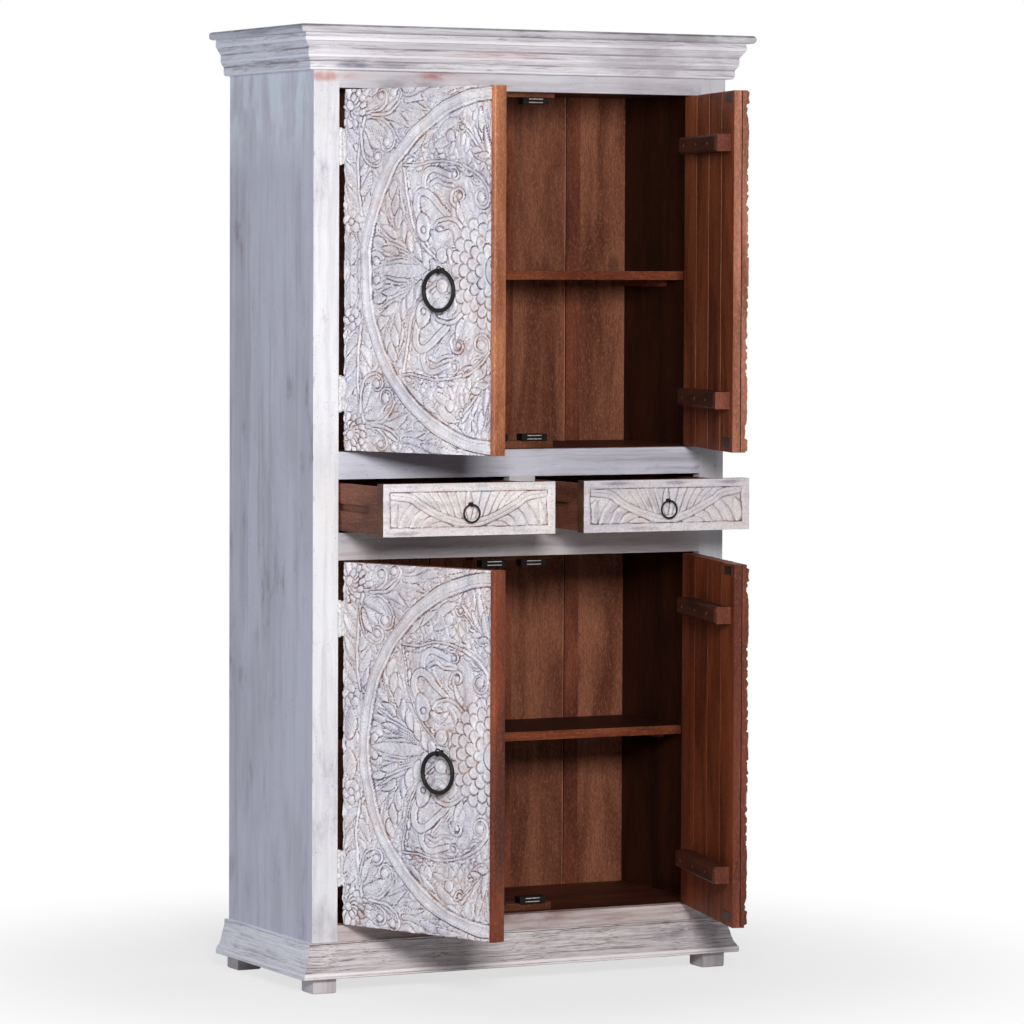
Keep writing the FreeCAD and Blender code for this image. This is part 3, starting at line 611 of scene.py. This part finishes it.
def medallion(r):
    """Rings of overlapping round petals about a plain disc."""
    out = np.hypot(MEDAL - r.x, r.z)
    turn = np.arctan2(r.z, MEDAL - r.x) / (2 * pi)
    for count, low, high, top in (
            (26, 84, 110, 4.4), (22, 64, 91, 4.9), (17, 44, 71, 5.4), (12, 24, 50, 5.7)):
        sector = turn * count + 0.5 * (count % 2)
        across = np.abs(sector - np.round(sector)) * 2 * pi / count * out
        half = pi * (high - 5) / count * 0.98
        v = (out - (low + high) / 2 - 1.5) / ((high - low) / 2 + 2)
        power = np.where(v > 0, 2.4, 5)
        depth = (1 - ((across / half) ** power + np.abs(v) ** power) ** (1 / power)) * half
        rise = np.clip(depth / 3.4, 0, 1)
        dish = 1 - 0.3 * np.clip(1.4 * depth / half, 0, 1) ** 2
        r.lay(EVERYWHERE, depth, top * rise * (2 - rise) * dish * (0.86 + 0.14 * np.clip(v, -1, 1)))
    disc = 28
    rise = np.clip((disc - out) / 3, 0, 1)
    r.lay(EVERYWHERE, disc - out, 5.8 * rise * (2 - rise) * (0.8 + 0.2 * out / disc))


def ring(r):
    """The plain hollowed band with a line cut near each edge."""
    out = np.hypot((MEDAL - r.x) / 1.012, r.z)
    low, high = 308, 334
    depth = np.minimum(out - low, high - out)
    rise = np.clip(depth / 2.6, 0, 1)
    height = 5.2 * rise * (2 - rise) - 1.7 * np.exp(-((out - (low + high) / 2) / 6.5) ** 2)
    for line in (low + 7, high - 5):
        height -= np.exp(-((out - line) / 0.9) ** 2)
    r.lay(EVERYWHERE, depth, height, 2.2)


def door_relief(xs, zs, seed):
    r = Relief(xs, zs, seed, 2)
    filler(r)
    spandrels(r)
    sprays(r)
    heart(r)
    medallion(r)
    ring(r)
    return r.h


def drawer_relief(xs, zs, seed):
    """A flat border round a garland with a fan of broad petals over it and lobes in each lower corner."""
    middle = xs[-1] / 2
    half = zs[-1]
    r = Relief(xs, zs, seed, 1.2, middle)
    arch = [(14, half - 19), (middle - 120, half - 26), (middle - 100, half - 39), (middle - 72, half - 54),
            (middle - 46, half - 65), (middle - 22, half - 73), (middle, half - 76)]
    for k in range(6):
        root = (middle - 6 - 13 * k, half - 74 + 2 * k + 0.5 * k * k)
        tip = (middle - 17 - 19 * k, half - 20 - 0.4 * k)
        bend = (root[0] * 0.6 + tip[0] * 0.4, (root[1] + tip[1]) / 2)
        r.stem([root, bend, tip], 8, 19 + k, 3.4 + 0.25 * (k % 2), hollow=0.5, crest=0.35)
    r.leaf([(middle, half - 76), (middle, half - 50), (middle, half - 13)], 15, 4, fat=1.25,
           vein=0, ribs=0)
    above = r.z > np.interp(r.x, [p[0] for p in arch], [p[1] for p in arch])
    r.h = np.where(above, r.h, 0)
    r.leaf([(27, 15 - half), (20, 34 - half), (30, 62 - half)], 22, 3.6, fat=0.9, ribs=0)
    for k, rise in enumerate((36, 28, 17)):
        x = 38 + 23 * k
        line = [(x, 16 - half), (x + 10, 18 - half + 0.5 * rise), (x + 27, 16 - half + rise)]
        r.stem(line, 13, 19 - k, 3.7, crest=0.3)
    r.leaf([(100, 17 - half), (120, 20 - half), (142, 15 - half)], 12, 2.6, ribs=0)
    line = curve(arch)
    r.stroke(line, np.full(len(line), 8), 4, crown=0.3, vein=1.5)
    edge = np.minimum(r.x, half - np.abs(r.z))
    border = 15
    rise = np.clip((border - edge) / 2, 0, 1)
    height = 4.2 * rise * (2 - rise) - np.exp(-((edge - border + 3) / 0.9) ** 2)
    r.lay(EVERYWHERE, border - edge, height, 1.8)
    return r.h


def carved_board(name, origin, width, height, thick, side, relief, seed, deep, step):
    """A closed board with a carved front at Y = origin[1], its X from the hinge edge times -side.

    Its materials are the front, the edges and the rear chamfer, which takes a dark brown as painted shade in
    the gap behind the board. The attribute hollow is positive in the carving's hollows and on its worn edge,
    and negative on its arrises.
    """
    nx, nz = int(round(width / step)) + 1, int(round(height / step)) + 1
    xs, zs = np.linspace(0, width, nx), np.linspace(-height / 2, height / 2, nz)
    raw = relief(xs, zs, seed)
    rng = np.random.default_rng(seed + 50)
    tool = smoothed(rng.normal(0, 1, raw.shape), 2.4)
    h = np.clip(smoothed(raw, 0.75 / step) + 0.2 * tool / tool.std(), 0, deep)
    hollow = (smoothed(raw, 1.9 / step) - smoothed(raw, 0.5 / step)) / 1.8
    chips = smoothed(rng.normal(0, 1, raw.shape), 2.5)
    worn = np.clip(1.2 - (width - xs)[None] / 2.4, 0, 1) * np.clip(0.3 + 0.7 * chips / chips.std(), 0, 1)
    if relief is drawer_relief:
        worn *= 0
    h = np.clip(h - 0.6 * worn, 0, deep)
    hollow = np.clip(np.maximum(hollow, worn), -1, 1)
    gx, gz = np.meshgrid(xs, zs)
    x = origin[0] - side * gx
    front = np.stack([x, origin[1] + (deep - h), origin[2] + gz], -1).reshape(-1, 3)
    loop = np.r_[np.arange(nx), nx * np.arange(1, nz) + nx - 1, nx * (nz - 1) + np.arange(nx - 2, -1, -1),
                 nx * np.arange(nz - 2, 0, -1)]
    side_rim = front[loop].copy()
    side_rim[:, 1] = origin[1] + thick - EASE
    back = side_rim.copy()
    back[:, 1] += EASE
    for axis in (0, 2):
        back[:, axis] = np.clip(back[:, axis], side_rim[:, axis].min() + EASE, side_rim[:, axis].max() - EASE)
    points = np.vstack([front, side_rim, back]) * MM
    i = (nx * np.arange(nz - 1)[:, None] + np.arange(nx - 1)).ravel()
    quads = np.stack([i, i + 1, i + nx + 1, i + nx], -1)
    n = len(loop)
    k = np.arange(n)
    rim_a, rim_b = nx * nz + k, nx * nz + (k + 1) % n
    skirt = np.vstack([np.stack([loop, rim_a, rim_b, loop[(k + 1) % n]], -1),
                       np.stack([rim_a, rim_a + n, rim_b + n, rim_b], -1)])
    if side > 0:
        quads, skirt = quads[:, ::-1], skirt[:, ::-1]
    rear = list(nx * nz + n + (k if side > 0 else k[::-1]))
    mesh = bpy.data.meshes.new(name)
    mesh.from_pydata(points.tolist(), [], quads.tolist() + skirt.tolist() + [[int(v) for v in rear]])
    count = len(quads)
    smooth = np.zeros(len(mesh.polygons), bool)
    smooth[:count] = True
    mesh.polygons.foreach_set("use_smooth", smooth)
    slots = np.ones(len(mesh.polygons), np.int32)
    slots[:count] = 0
    slots[count + n:count + 2 * n] = 2
    mesh.polygons.foreach_set("material_index", slots)
    pairs = np.empty(len(mesh.edges) * 2, np.int32)
    mesh.edges.foreach_get("vertices", pairs)
    pairs = pairs.reshape(-1, 2)
    rim = np.zeros(len(mesh.vertices), bool)
    rim[loop] = True
    sharp = mesh.attributes.new("sharp_edge", "BOOLEAN", "EDGE")
    sharp.data.foreach_set("value", (rim[pairs].all(1) | (pairs >= nx * nz).any(1)))
    values = np.zeros(len(mesh.vertices), np.float32)
    values[:nx * nz] = hollow.ravel()
    mesh.attributes.new("hollow", "FLOAT", "POINT").data.foreach_set("value", values)
    return placed(name, mesh)


# Doors and drawers

LEVELS = ("upper", "lower")
HANDS = ((-1, "left"), (1, "right"))
CARVING_DEPTH = {"door": 6.8, "drawer": 4.4}
GRID_STEP = {"door": 1.66, "drawer": 1.1}

edge_woods = {"upper": brown("wood_edges_upper", Z, (184, 122, 98), (124, 74, 57), 5),
              "lower": brown("wood_edges_lower", Z, (138, 76, 56), (86, 42, 30), 6)}
# Painted shade: a dark brown for gaps where shade falls, on the carved boards' rear chamfers and the muntins'
# left faces.
painted_joint_shade = brown("wood_painted_joint_shade", Z, (70, 34, 24), (40, 18, 12), 7.5)


def mount_carving(board, body, node, paint, edge_wood):
    """Puts a carved board in place of its plain node."""
    for material in (paint, edge_wood, painted_joint_shade):
        board.data.materials.append(material)
    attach(board, body)
    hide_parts(node)


def open_angle(body):
    """How far a door stands open at rest."""
    return radians(-joints[body + "_hinge"]["range_deg"][0])


closed = {}
for level in LEVELS:
    for side, hand in HANDS:
        body = f"door_{level}_{hand}"
        node = body + "_carved_panel"
        joint = joints[body + "_hinge"]
        pivot = Vector(joint["pos_m"])
        swing = (Matrix.Translation(pivot) @ Matrix.Rotation(open_angle(body), 4, Vector(joint["axis"]))
                 @ Matrix.Translation(-pivot))
        closed[body] = swing.inverted()
        corners = np.array([closed[body] @ vertex.co for vertex in nodes[node].data.vertices]) / MM
        low, high = corners.min(0), corners.max(0)
        wide, thick, tall = high - low
        seed = {"upper": 3, "lower": 8}[level] + (side > 0)
        origin = (low[0] if side < 0 else high[0], low[1], (low[2] + high[2]) / 2)
        panel = carved_board(body + "_carving", origin, wide, tall, thick, side, door_relief, seed,
                             CARVING_DEPTH["door"], GRID_STEP["door"])
        panel.matrix_world = swing
        paint = white(body + "_carving_paint", Z, 2 + seed, 0.35, 0.5, 0.55, (247, 246, 251), kind="carved")
        mount_carving(panel, body, node, paint, edge_woods[level])

# Marks on a drawer front's border: share of its width, and whether on the top edge
drawer_marks = {"left": ((0.12, False), (0.52, True), (0.85, False)),
                "right": ((0.2, True), (0.36, False), (0.55, True), (0.9, True))}
drawer_tones = {"left": (248, 244, 243), "right": (230, 225, 225)}
for side, hand in HANDS:
    body = f"drawer_{hand}"
    low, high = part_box(body + "_front")
    wide, thick, tall = ((b - a) / MM for a, b in zip(low, high))
    origin = (low.x / MM, low.y / MM, (low.z + high.z) / 2 / MM)
    front = carved_board(body + "_carving", origin, wide, tall, thick, -1, drawer_relief, 21 + side,
                         CARVING_DEPTH["drawer"], GRID_STEP["drawer"])
    stains = [(low.x + share * (high.x - low.x), high.z - 0.006 if top else low.z + 0.006,
               0.045, 0.0055, 0.75, (134, 130, 142)) for share, top in drawer_marks[hand]]
    paint = white(body + "_carving_paint", X, 7 + side, 0.45, 0.4, 0.6, drawer_tones[hand], kind="carved",
                  stains=stains)
    edge_wood = brown(body + "_front_edges", X, (120, 82, 64), (78, 48, 36), side + 9)
    mount_carving(front, body, body + "_front", paint, edge_wood)


# Mouldings

def reeded(shares, out, height, reeds, depth, seed):
    """A fine moulding section with reeds worked into it, as (out, up, hollow) rows.

    hollow is positive in the reeds and negative on the arrises.
    """
    rng = np.random.default_rng(seed)
    corners = np.array([(a * out, b * height) for a, b in shares])
    reach = np.r_[0, np.cumsum(np.hypot(*np.diff(corners, axis=0).T))]
    place = np.linspace(0, reach[-1], int(reach[-1] / 0.7))
    line = np.c_[np.interp(place, reach, corners[:, 0]), np.interp(place, reach, corners[:, 1])]
    soft = line.copy()
    for rounds, target in ((3, line), (30, soft)):
        for _ in range(rounds):
            target[1:-1] = (target[:-2] + 2 * target[1:-1] + target[2:]) / 4
    normal = np.gradient(line, axis=0)[:, ::-1] * (1, -1)
    normal /= np.hypot(*normal.T)[:, None]
    arris = ((line - soft) * normal).sum(1) / 0.8
    cut = np.zeros(len(line))
    for spot in np.linspace(place[-1] * 0.06, place[-1] * 0.95, reeds) + rng.uniform(-2, 2, reeds):
        cut += depth * rng.uniform(0.35, 1) * np.exp(-np.abs(place - spot) / 0.9)
    line = line - normal * cut[:, None]
    line[:, 0] = np.clip(line[:, 0], 1.5, out)
    return np.c_[line, np.clip(0.8 * cut / depth - arris, -1, 1)]


def moulding(name, section, low, part, seed):
    """A run of moulding with mitred ends: part is front, left or right."""
    length = 2 * half_width if part == "front" else back_y - front_y
    row_step = 18
    count = int(length / row_step) + 2
    t = np.linspace(0, 1, count)[:, None]
    rng = np.random.default_rng(seed)
    wave = smoothed(rng.normal(0, 1, (count, len(section))), 1.6)
    wave *= 0.22 / wave.std()
    wave[0] = wave[-1] = 0
    out = np.clip(section[:, 0] + wave, 1, section[:, 0].max())
    up = np.broadcast_to(section[:, 1], out.shape)
    if part == "front":
        x = -half_width - out[0] + (2 * half_width + out[0] + out[-1]) * t
        y = front_y - out
    else:
        outer_x = -half_width if part == "left" else half_width
        x = outer_x + copysign(1, outer_x) * out
        y = back_y + (front_y - out[-1] - back_y) * t
    rows = np.stack([x, y, low + up], -1)
    inner = rows[:, [-1, 0]].copy()
    if part == "front":
        inner[..., 0] = np.clip(inner[..., 0], -half_width, half_width)
        inner[..., 1] = front_y
    else:
        inner[..., 0] = outer_x
        inner[..., 1] = np.maximum(inner[..., 1], front_y)
    rows = np.concatenate([rows, inner], 1)
    m = rows.shape[1]
    start = m * np.arange(count - 1)[:, None]
    i, j = start + np.arange(m), start + (np.arange(m) + 1) % m
    quads = np.stack([i, j, j + m, i + m], -1).reshape(-1, 4)
    ends = [list(range(m))[::-1], list(range(m * (count - 1), m * count))]
    if part == "right":
        quads = quads[:, ::-1]
        ends = [end[::-1] for end in ends]
    mesh = bpy.data.meshes.new(name)
    mesh.from_pydata((rows.reshape(-1, 3) * MM).tolist(), [], quads.tolist() + ends)
    hollow = np.zeros((count, m), np.float32)
    hollow[:, :len(section)] = section[:, 2]
    mesh.attributes.new("hollow", "FLOAT", "POINT").data.foreach_set("value", hollow.ravel())
    mesh.update()
    return mesh


def run_of_moulding(kind, shares, reeds, seed, front_paint, shaded_side_paint):
    """Reeded pieces in place of a moulding's plain solids; a paint is what white takes after its seed."""
    low, high = corners_mm(kind + "_front")
    out, height = round(front_y - low[1], 1), round(high[2] - low[2], 1)
    section = reeded(shares, out, height, reeds, 0.9, seed)
    for part, sign in (("front", 0), ("left", -1), ("right", 1)):
        name = f"{kind}_{part}_reeded"
        piece = placed(name, moulding(name, section, low[2], part, 5 + sign))
        # The side pieces take a bluer white than the front, as painted shade.
        look = shaded_side_paint if sign else front_paint
        paint = white(name + "_paint", Y if sign else X, 3 + sign + low[2] / 900, *look)
        piece.data.materials.append(paint)
        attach(piece, "carcass")
        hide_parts(kind + ("_sides" if sign else "_front"))


# Outlines from the foot up, as shares of how far a moulding stands out and of its height
CORNICE = ((0.34, 0), (0.44, 0.04), (0.45, 0.14), (0.44, 0.24), (0.55, 0.31), (0.64, 0.38), (0.66, 0.42),
           (0.65, 0.59), (0.72, 0.63), (0.79, 0.68), (0.88, 0.735), (0.98, 0.8), (1, 0.86), (0.99, 0.94),
           (0.96, 1))
BASE = ((0.95, 0), (1, 0.04), (1, 0.09), (0.98, 0.14), (0.85, 0.23), (0.82, 0.24), (0.7, 0.32),
        (0.61, 0.43), (0.54, 0.54), (0.48, 0.66), (0.45, 0.7), (0.4, 0.76), (0.38, 0.8), (0.35, 0.85),
        (0.35, 1))
cornice_stains = (
    (-0.365, 1.728, 0.06, 0.009, 0.9, (122, 118, 138)), (-0.26, 1.728, 0.07, 0.008, 0.7, (140, 135, 155)),
    (-0.08, 1.752, 0.16, 0.01, 0.5, (206, 166, 164)), (0.3, 1.75, 0.3, 0.06, 0.5, (172, 166, 174)))
# Each moulding's sides take a bluer white than its front, as painted shade.
run_of_moulding("cornice", CORNICE, 6, 4,
                (0.6, 0.45, 0.5, (237, 235, 240), (160, 150, 158), "reeded", cornice_stains),
                (0.6, 0.6, 0.3, (239, 241, 253), (158, 156, 172), "reeded"))
run_of_moulding("base", BASE, 7, 6,
                (0.95, 0.7, 0.5, (228, 222, 223), (146, 130, 130), "reeded", (), None, 2.1),
                (0.55, 0.55, 0.3, (246, 247, 255), (172, 169, 184), "reeded"))


# Materials on the CAD pieces

def dress(names, material, round_mm=0, segments=2, limit=40):
    """Gives whole nodes one material and eases their sharp edges."""
    for name in names:
        node = nodes[name]
        node.data.materials.clear()
        node.data.materials.append(material)
        if round_mm:
            bevel = node.modifiers.new("eased", "BEVEL")
            bevel.width = round_mm * MM
            bevel.segments = segments
            bevel.limit_method = "ANGLE"
            bevel.angle_limit = radians(limit)


def second(names, material, chosen):
    """Gives a second material to the faces whose middle, in mm, and normal pass the test."""
    for name in names:
        mesh = nodes[name].data
        mesh.materials.append(material)
        slot = len(mesh.materials) - 1
        for face in mesh.polygons:
            if chosen(face.center / MM, face.normal):
                face.material_index = slot


# Case outside: sides, stiles, rails, cap and feet
stile_marks = (
    (-0.41, 1.708, 0.05, 0.014, 0.9, (200, 150, 146)), (-0.4, 0.13, 0.05, 0.07, 0.5, (150, 140, 148)))
for hand, outward, seed, stile_seed, tone in (
        ("left", -1, 1, 2, (240, 241, 243)), ("right", 1, 11, 4, (207, 206, 210))):
    pale_top = (outward * half_width * MM, 1.7, 0.3, 0.22, 0.75, (234, 243, 255))
    # The sides and the stiles' outer faces take a bluer white than the front, as painted shade.
    shaded_side_paint = white("paint_side_blue_shade_" + hand, Z, seed, 0.38, 0.75, 0.1, (212, 214, 229), (158, 151, 167),
                       stains=(pale_top,))
    dress(["side_" + hand], shaded_side_paint, 1.5)
    stile_paint = white("paint_stile_" + hand, Z, stile_seed, 0.32, 0.4, 0.5, tone,
                        stains=stile_marks, edge=(X, half_width * MM, 0.006))
    dress(["stile_" + hand], stile_paint, 1.2)
    second(["stile_" + hand], shaded_side_paint, lambda middle, normal: normal.x * outward > 0.9)

worn_white = (166, 160, 172)
# Rust-pink lines under the cornice, and greyer patches below them on the top rail.
rust_and_grey_below_cornice = (
    (-0.36, 1.712, 0.09, 0.012, 0.8, (196, 146, 142)), (-0.16, 1.712, 0.09, 0.013, 1, (186, 130, 130)),
    (-0.245, 1.692, 0.1, 0.028, 0.6, (140, 122, 132)), (-0.1, 1.7, 0.09, 0.02, 0.6, (168, 148, 154)),
    (0.28, 1.69, 0.12, 0.03, 0.4, (150, 140, 150)))
dirt_low = (
    (0.02, 0.14, 0.2, 0.05, 0.95, (146, 118, 114)), (0.26, 0.145, 0.16, 0.05, 0.6, (228, 214, 210)),
    (-0.24, 0.12, 0.16, 0.04, 0.6, (140, 118, 118)))
for rail, seed, tone, streaks, far, stains, small in (
        ("rail_bottom", 5, (214, 203, 202), 1, (160, 136, 130), dirt_low, 1.6),
        ("rail_below_drawers", 6, (208, 202, 201), 0.85, worn_white, (), 1),
        # The rail above the drawers takes a bluer white, as painted shade.
        ("rail_above_drawers", 7, (219, 220, 232), 0.75, worn_white, (), 1),
        ("rail_top", 8, (219, 218, 223), 0.5, worn_white, rust_and_grey_below_cornice, 1)):
    paint = white("paint_" + rail, X, seed, streaks, 0.6, 0.45, tone, far, stains=stains, small=small)
    dress([rail], paint, 1)
dress(["drawer_divider"], white("paint_drawer_divider", Z, 9, 0.45, 0.5, 0.3, (206, 202, 206)), 1)
cap_line = (0, 1.7993, 3, 0.0022, 0.8)
cap_front = white("paint_cap_front", X, 12, 0.85, 0.75, 0.4, (233, 232, 237), (148, 142, 150),
                  stains=((0.34, 1.79, 0.26, 0.03, 0.75, (150, 146, 150)), (*cap_line, (104, 96, 104))))
# The cap's ends take a darker, bluer white than its front, as painted shade.
cap_sides_blue_shade = white("paint_cap_sides_blue_shade", Y, 14, 0.9, 0.75, 0.4, (218, 222, 234), (128, 126, 140),
                  stains=((*cap_line, (96, 88, 96)),))
dress(["cornice_cap"], cap_front, 2.5, 3)
second(["cornice_cap"], cap_sides_blue_shade,
       lambda middle, normal: abs(normal.x) > 0.3 and abs(middle.x) > cap_half - 10)
dress(["feet"], white("paint_feet", Z, 13, 0.6, 0.5, 0.5, (216, 209, 211)), 1.5)

# Case inside
# Painted shade: the sides' inner faces take a wood darkened to a third, for the shade inside the case.
second(["side_left", "side_right"], brown("wood_inside_painted_shade", Z, (108, 56, 34), (58, 24, 12), 2, gain=0.33),
       lambda middle, normal: abs(abs(middle.x) - inner_x) < 3 and abs(normal.x) > 0.9)
second(["stile_left", "stile_right", "rail_bottom", "rail_below_drawers", "rail_above_drawers", "rail_top",
        "drawer_divider"], brown("wood_frame_back", Z, (120, 76, 56), (70, 38, 26), 3),
       lambda middle, normal: middle.y > frame_back_y - 1 and abs(normal.y) > 0.9)
back_pitch = 0.149
# The back boards' edges are lightened, as wear and as a painted highlight.
dress(["back_boards"], brown("wood_back_boards", Z, (158, 101, 77), (104, 57, 40), 1, contrast=0.16,
                             board=(X, -3 * back_pitch, back_pitch), wear_and_highlight_edge=0.0588))
dress(["back_muntins"], brown("wood_back_muntins", Z, (154, 88, 64), (90, 46, 34), 4, gloss=0.3), 2.6, 3)
# Painted shade on the muntins' left faces, for the shadow gap beside them.
second(["back_muntins"], painted_joint_shade, lambda middle, normal: normal.x < -0.9)
for wood, names, grain, light, dark, seed, round_mm in (
        ("wood_shelves", ("shelf_upper", "shelf_lower"), X, (156, 84, 56), (95, 46, 28), 6, 1.2),
        ("wood_decks", ("bottom_board", "drawer_deck_board", "upper_floor_board", "ceiling_board"),
         X, (98, 51, 34), (52, 23, 13), 7, 0.8),
        ("wood_cleats", ("shelf_cleats", "drawer_guides"), Y, (160, 92, 64), (104, 54, 36), 8, 0.8),
        ("wood_catch_blocks", ("catch_blocks",), X, (142, 88, 61), (92, 50, 32), 10, 1),
        ("drawer_left_box_wood", ("drawer_left_box",), Y, (146, 92, 72), (92, 50, 36), 16, 0.8),
        ("drawer_right_box_wood", ("drawer_right_box",), Y, (146, 92, 72), (92, 50, 36), 17, 0.8)):
    dress(names, brown(wood, grain, light, dark, seed), round_mm)
# Painted shade: the shelves' top faces take a darker wood than their other faces.
second(["shelf_upper", "shelf_lower"], brown("wood_shelf_tops_painted_shade", X, (62, 29, 19), (32, 13, 7), 6.5),
       lambda middle, normal: normal.z > 0.9)


# Doors behind their carving, rings and metal

# Reach of a hinge leaf from its pin, and where strikes and screw heads lie in a closed door, in mm
HINGE_REACH = 24
STRIKE_FRONT, STRIKE_BACK = -164, -162
# Clearances of the planks and the width of their lightened edges, worn and with a painted highlight, in
# metres
HINGE_GAP, PLANK_GAP, WEAR_AND_HIGHLIGHT_EDGE = 0.0012, 0.0006, 0.0012
IRON = ((34, 31, 31), 0.5, 0.6, 0.4, 0.5)
HINGE_PAINT = ((250, 249, 250), 0.45)
plank_tones = {"upper": ((160, 88, 54), (98, 44, 24)), "lower": ((152, 78, 46), (90, 38, 20))}
strike_metal = plain("strike_metal", (70, 56, 48), 0.45, 0.5, 0.5, 0.3)
plugs = {"upper": plain("screw_dark", (16, 9, 8), 0.7),
         "lower": plain("screw_brass", (196, 140, 100), 0.5, 0.2, 0.4, 0.3)}
for level in LEVELS:
    for side, hand in HANDS:
        body = f"door_{level}_{hand}"
        planks, battens, fittings = (body + part for part in ("_planks", "_battens", "_iron_fittings"))
        pivot = Vector(joints[body + "_hinge"]["pos_m"])
        line = Vector((-side * cos(open_angle(body)), -sin(open_angle(body)), 0))
        reach = [line.dot(vertex.co) for vertex in nodes[planks].data.vertices]
        pitch = (max(reach) - min(reach) + PLANK_GAP) / 4
        # The planks' edges are lightened, as wear and as a painted highlight.
        plank_wood = brown(body + "_plank_wood", Z, *plank_tones[level], 1.5 + side, contrast=0.5,
                           board=(line, line.dot(pivot) + HINGE_GAP, pitch), wear_and_highlight_edge=pitch / 2 - WEAR_AND_HIGHLIGHT_EDGE)
        dress([planks], plank_wood, 1.4, 2, 60)
        second([planks], edge_woods[level], lambda middle, normal: normal.dot(line) > 0.6)
        batten_wood = brown(body + "_batten_wood", line, (100, 55, 40), (56, 28, 20), 2.5 + side)
        dress([battens], batten_wood, 1.2)
        second([battens], edge_woods["lower"], lambda middle, normal: normal.dot(line) > 0.9)
        dress([fittings, body + "_ring"], plain(body + "_iron", *IRON))
        hub = pivot / MM

        def near_hinge(middle, normal):
            return hypot(middle.x - hub.x, middle.y - hub.y) < HINGE_REACH

        def strike(middle, normal):
            return STRIKE_FRONT < (closed[body] @ (middle * MM)).y / MM < STRIKE_BACK

        def screw(middle, normal):
            return (closed[body] @ (middle * MM)).y / MM > STRIKE_BACK

        second([fittings], plain(body + "_hinge_paint", *HINGE_PAINT), near_hinge)
        second([fittings], strike_metal, strike)
        second([fittings], plugs[level], screw)
for level, light, dark, seed in (
        ("upper", (214, 138, 96), (140, 74, 46), 12), ("lower", (152, 75, 43), (74, 27, 14), 13)):
    dress([f"door_{level}_left_meeting_bead"], brown("bead_wood_" + level, Z, light, dark, seed, gloss=0.25))
for _, hand in HANDS:
    body = "drawer_" + hand
    dress([body + "_ring", body + "_ring_eye"], plain(body + "_iron", *IRON))
dress(["stile_hinge_leaves", "hinge_pins"], plain("hinge_paint", *HINGE_PAINT))
dress(["magnet_catches"], plain("catch_case", (18, 12, 10), 0.6, shine=0.2))
pole_y = corners_mm("magnet_catches")[0][1]
second(["magnet_catches"], plain("catch_poles", (205, 200, 198), 0.3, 0.7, 0.5),
       lambda middle, normal: middle.y < pole_y + 0.1)


# Camera

# Place in metres, then the turn about Z, the look down and the lean to one side in degrees
camera_place = Vector((-4.222, -8.4692, 1.3577))
azimuth, tilt, roll = (radians(v) for v in (26.91, 2.87, 0.24))
camera_data = bpy.data.cameras.new("camera")
camera_data.sensor_width = 36
camera_data.lens = 172.4
camera = placed("camera", camera_data)
ahead = Vector((sin(azimuth) * cos(tilt), cos(azimuth) * cos(tilt), -sin(tilt)))
right = Vector((cos(azimuth), -sin(azimuth), 0))
up = right.cross(ahead)
turned_right = right * cos(roll) + up * sin(roll)
turned_up = up * cos(roll) - right * sin(roll)
facing = Matrix((turned_right, turned_up, -ahead)).transposed().to_4x4()
camera.matrix_world = Matrix.Translation(camera_place) @ facing
scene.camera = camera


# Light, floor and backdrop

def lamp(name, place, aim, wide, tall, power, colour):
    data = bpy.data.lights.new(name, "AREA")
    data.shape = "RECTANGLE"
    data.size = wide
    data.size_y = tall
    data.energy = power
    data.color = colour
    ob = placed(name, data)
    ob.location = place
    ob.rotation_euler = (Vector(aim) - Vector(place)).to_track_quat("-Z", "Y").to_euler()


lamp("key", (-1.7, -4.3, 1.95), (0, 0, 1.05), 1.1, 0.8, 150, (1, 0.985, 0.975))
lamp("left_fill", (-5, -0.6, 2.1), (0, 0, 1), 2, 2, 31, (0.82, 0.89, 1))
lamp("back_fill", (4.2, 2.6, 2.3), (0, 0, 1), 2.4, 2.4, 60, (0.96, 0.97, 1))

# White for what sees the surround directly, mirrored or through glass, and dim as a light
world = bpy.data.worlds.new("world")
scene.world = world
s = Shader(world)
s.tree.nodes.clear()
dim = s.add("Background", {"Color": (0.94, 0.95, 1, 1), "Strength": 0.13})
bright = s.add("Background", {"Color": (1, 1, 1, 1), "Strength": 1})
choice = s.add("MixShader", {0: s.seen(), 1: dim.outputs[0], 2: bright.outputs[0]})
s.add("OutputWorld", {"Surface": choice.outputs[0]})

# A floor that keeps the object's shadow and fades into the white further off
FLOOR_HALF = 30
corners = [(x * FLOOR_HALF, y * FLOOR_HALF, 0) for x, y in ((-1, -1), (1, -1), (1, 1), (-1, 1))]
floor_mesh = bpy.data.meshes.new("floor")
floor_mesh.from_pydata(corners, [], [(0, 1, 2, 3)])
floor = placed("floor", floor_mesh)
s = Shader(bpy.data.materials.new("floor_paint"))
lit = s.add("BsdfDiffuse", {"Color": (0.8, 0.8, 0.8, 1)})
glow = s.add("Emission", {"Color": (1, 1, 1, 1), "Strength": 1})
away = s.ramp(s.vector("LENGTH", s.place()), 0.5, 1.4, 0.7, 1)
blend = s.add("MixShader", {0: s.times(s.seen(), away), 1: lit.outputs[0], 2: glow.outputs[0]})
s.set(s.tree.nodes["Material Output"], "Surface", blend.outputs[0])
floor_mesh.materials.append(s.owner)

scene.view_settings.view_transform = "Standard"
